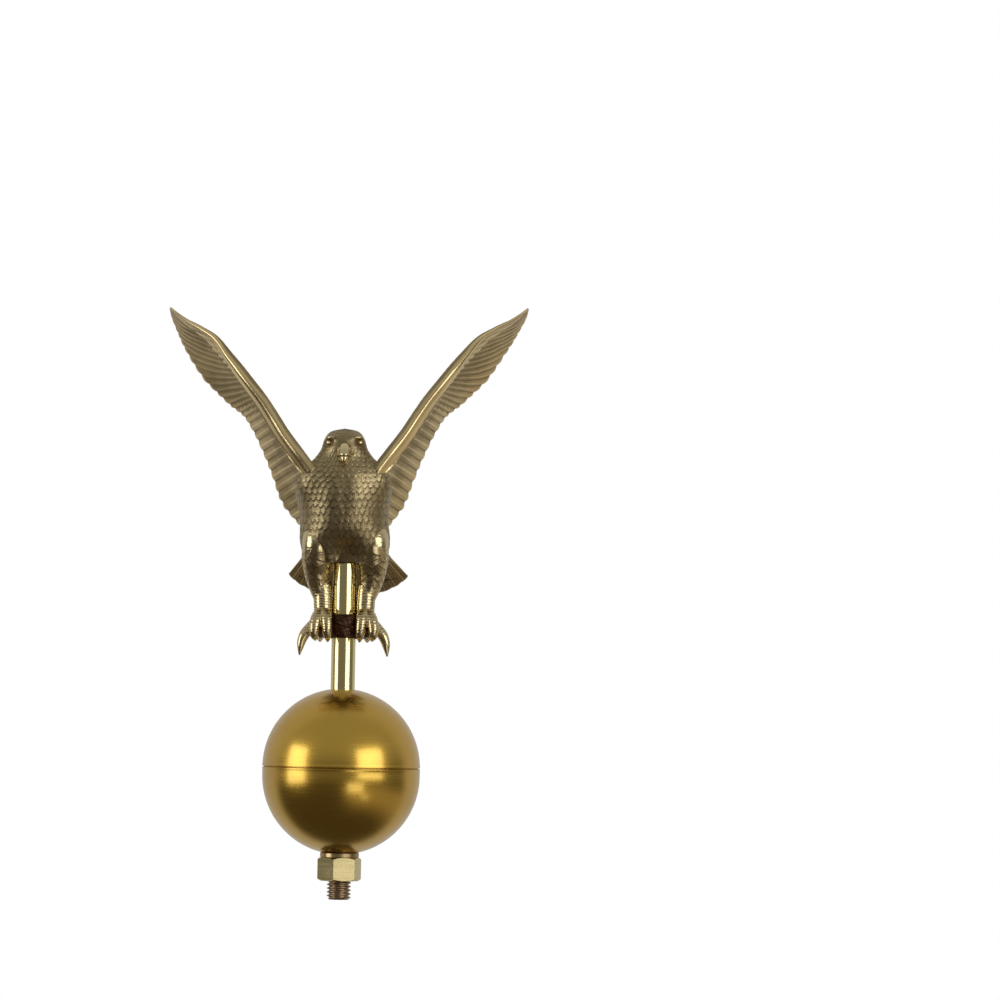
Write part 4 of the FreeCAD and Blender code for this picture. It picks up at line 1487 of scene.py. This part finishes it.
@dataclass
class Studio:
    """Two large soft boxes at the sides, two small ones low in front, and a dim room round them."""

    dark_below: float = -0.35
    bright_above: float = 0.55
    behind_from: float = 0.10
    behind_full: float = 0.42
    behind_rise: float = 0.30
    floor_glow: Glow = (0.075, 0.062, 0.050, 1)
    ceiling_glow: Glow = (0.40, 0.40, 0.38, 1)
    back_glow: Glow = (0.52, 0.51, 0.49, 1)
    pool_glow: Glow = (0.40, 0.35, 0.28, 1)
    paper: Glow = (1, 1, 1, 1)

    @staticmethod
    def soft_box(name: str, turn: float, height: float, distance: float, size: tuple[float, float],
                 power: float, aim: float = 0.12) -> None:
        """Adds a rectangular light that faces the object.

        Args:
            name: the light's name.
            turn: degrees round from the front, positive to the viewer's right.
            height: its height in metres.
            distance: its distance from the axis.
            size: width and height.
            power: watts.
            aim: height that it looks at.
        """
        light = bpy.data.lights.new(name, "AREA")
        light.shape = "RECTANGLE"
        light.size, light.size_y = size
        light.energy = power
        item = linked(bpy.data.objects.new(name, light))
        item.visible_camera = False
        angle = math.radians(turn)
        item.location = (distance * math.sin(angle), -distance * math.cos(angle), height)
        look = Vector((0, 0, aim)) - item.location
        item.rotation_euler = look.to_track_quat("-Z", "Y").to_euler()

    def build(self) -> None:
        """Sets the lights and the dim room."""
        self.soft_box("right_box", 43, 0.26, 0.95, (0.68, 0.50), 2.45)
        self.soft_box("left_box", -68, 0.195, 0.95, (0.53, 0.60), 2.35)
        self.soft_box("low_box", 21, -0.11, 0.60, (0.25, 0.15), 0.17, aim=0.06)
        self.soft_box("floor_box", 38, -0.36, 0.80, (0.16, 0.10), 0.05, aim=0.06)
        self.room()
        bpy.context.scene.view_settings.view_transform = "Standard"

    def room(self) -> None:
        """Makes the dim room that the metal reflects: darker below and in front, pale behind.

        The camera itself sees white paper.
        """
        world = bpy.data.worlds.new("room")
        world.use_nodes = True
        kit = NodeKit(world.node_tree)
        look = kit.add("ShaderNodeSeparateXYZ")
        kit.join(kit.add("ShaderNodeTexCoord").outputs["Generated"], look.inputs[0])
        rising = kit.spread(look.outputs[2], 0.0, 1.0, self.dark_below, self.bright_above)
        sideways = kit.spread(look.outputs[0], 0.0, 1.0, -0.05, 0.35)
        downward = kit.maths("MULTIPLY", kit.spread(look.outputs[2], 0.0, 1.0, -0.85, -0.45),
                             kit.spread(look.outputs[2], 1.0, 0.0, -0.35, -0.15))
        pool = kit.maths("MULTIPLY", sideways, downward)
        walls = kit.blend(pool, kit.blend(rising, self.floor_glow, self.ceiling_glow), self.pool_glow)
        leaning = kit.maths("ADD", look.outputs[1], kit.maths("MULTIPLY", look.outputs[2], self.behind_rise))
        behind = kit.spread(leaning, 0.0, 1.0, self.behind_from, self.behind_full)
        room = kit.blend(behind, walls, self.back_glow)
        seen = kit.add("ShaderNodeLightPath").outputs["Is Camera Ray"]
        background = world.node_tree.nodes["Background"]
        kit.join(kit.blend(seen, room, self.paper), background.inputs[0])
        bpy.context.scene.world = world


@dataclass
class Camera:
    """Long lens a little above the ball's seam, turned so that the finial stands left of the middle."""

    distance: float = 3.0
    height: float = 0.10
    lens: float = 204.0
    aim: tuple[float, float] = (0.0814, 0.2029)
    lean: float = 1.05

    def build(self) -> None:
        """Adds the camera and makes it the scene's."""
        data = bpy.data.cameras.new("camera")
        data.lens = self.lens
        data.sensor_width = 36.0
        item = linked(bpy.data.objects.new("camera", data))
        place = Vector((0.0, -self.distance, self.height))
        look = Vector((self.aim[0], 0.0, self.aim[1])) - place
        turn = look.to_track_quat("-Z", "Y").to_matrix().to_4x4()
        lean = Matrix.Rotation(math.radians(self.lean), 4, "Z")
        item.matrix_world = Matrix.Translation(place) @ turn @ lean
        bpy.context.scene.camera = item


def main() -> None:
    """Builds every sub-assembly in order."""
    logging.basicConfig(level=logging.INFO, format="%(message)s")
    Camera().build()
    Studio().build()
    finishes = Finishes()
    makers = [Spindle(), HexNut(), CupWasher(), Ball(), Trunk(), Head(), *(Wing(side) for side in Side),
              Tail(), *(Leg(side) for side in Side), Perch(), Hardware()]
    for maker in makers:
        maker.build(finishes)


if __name__ == "__main__":
    main()
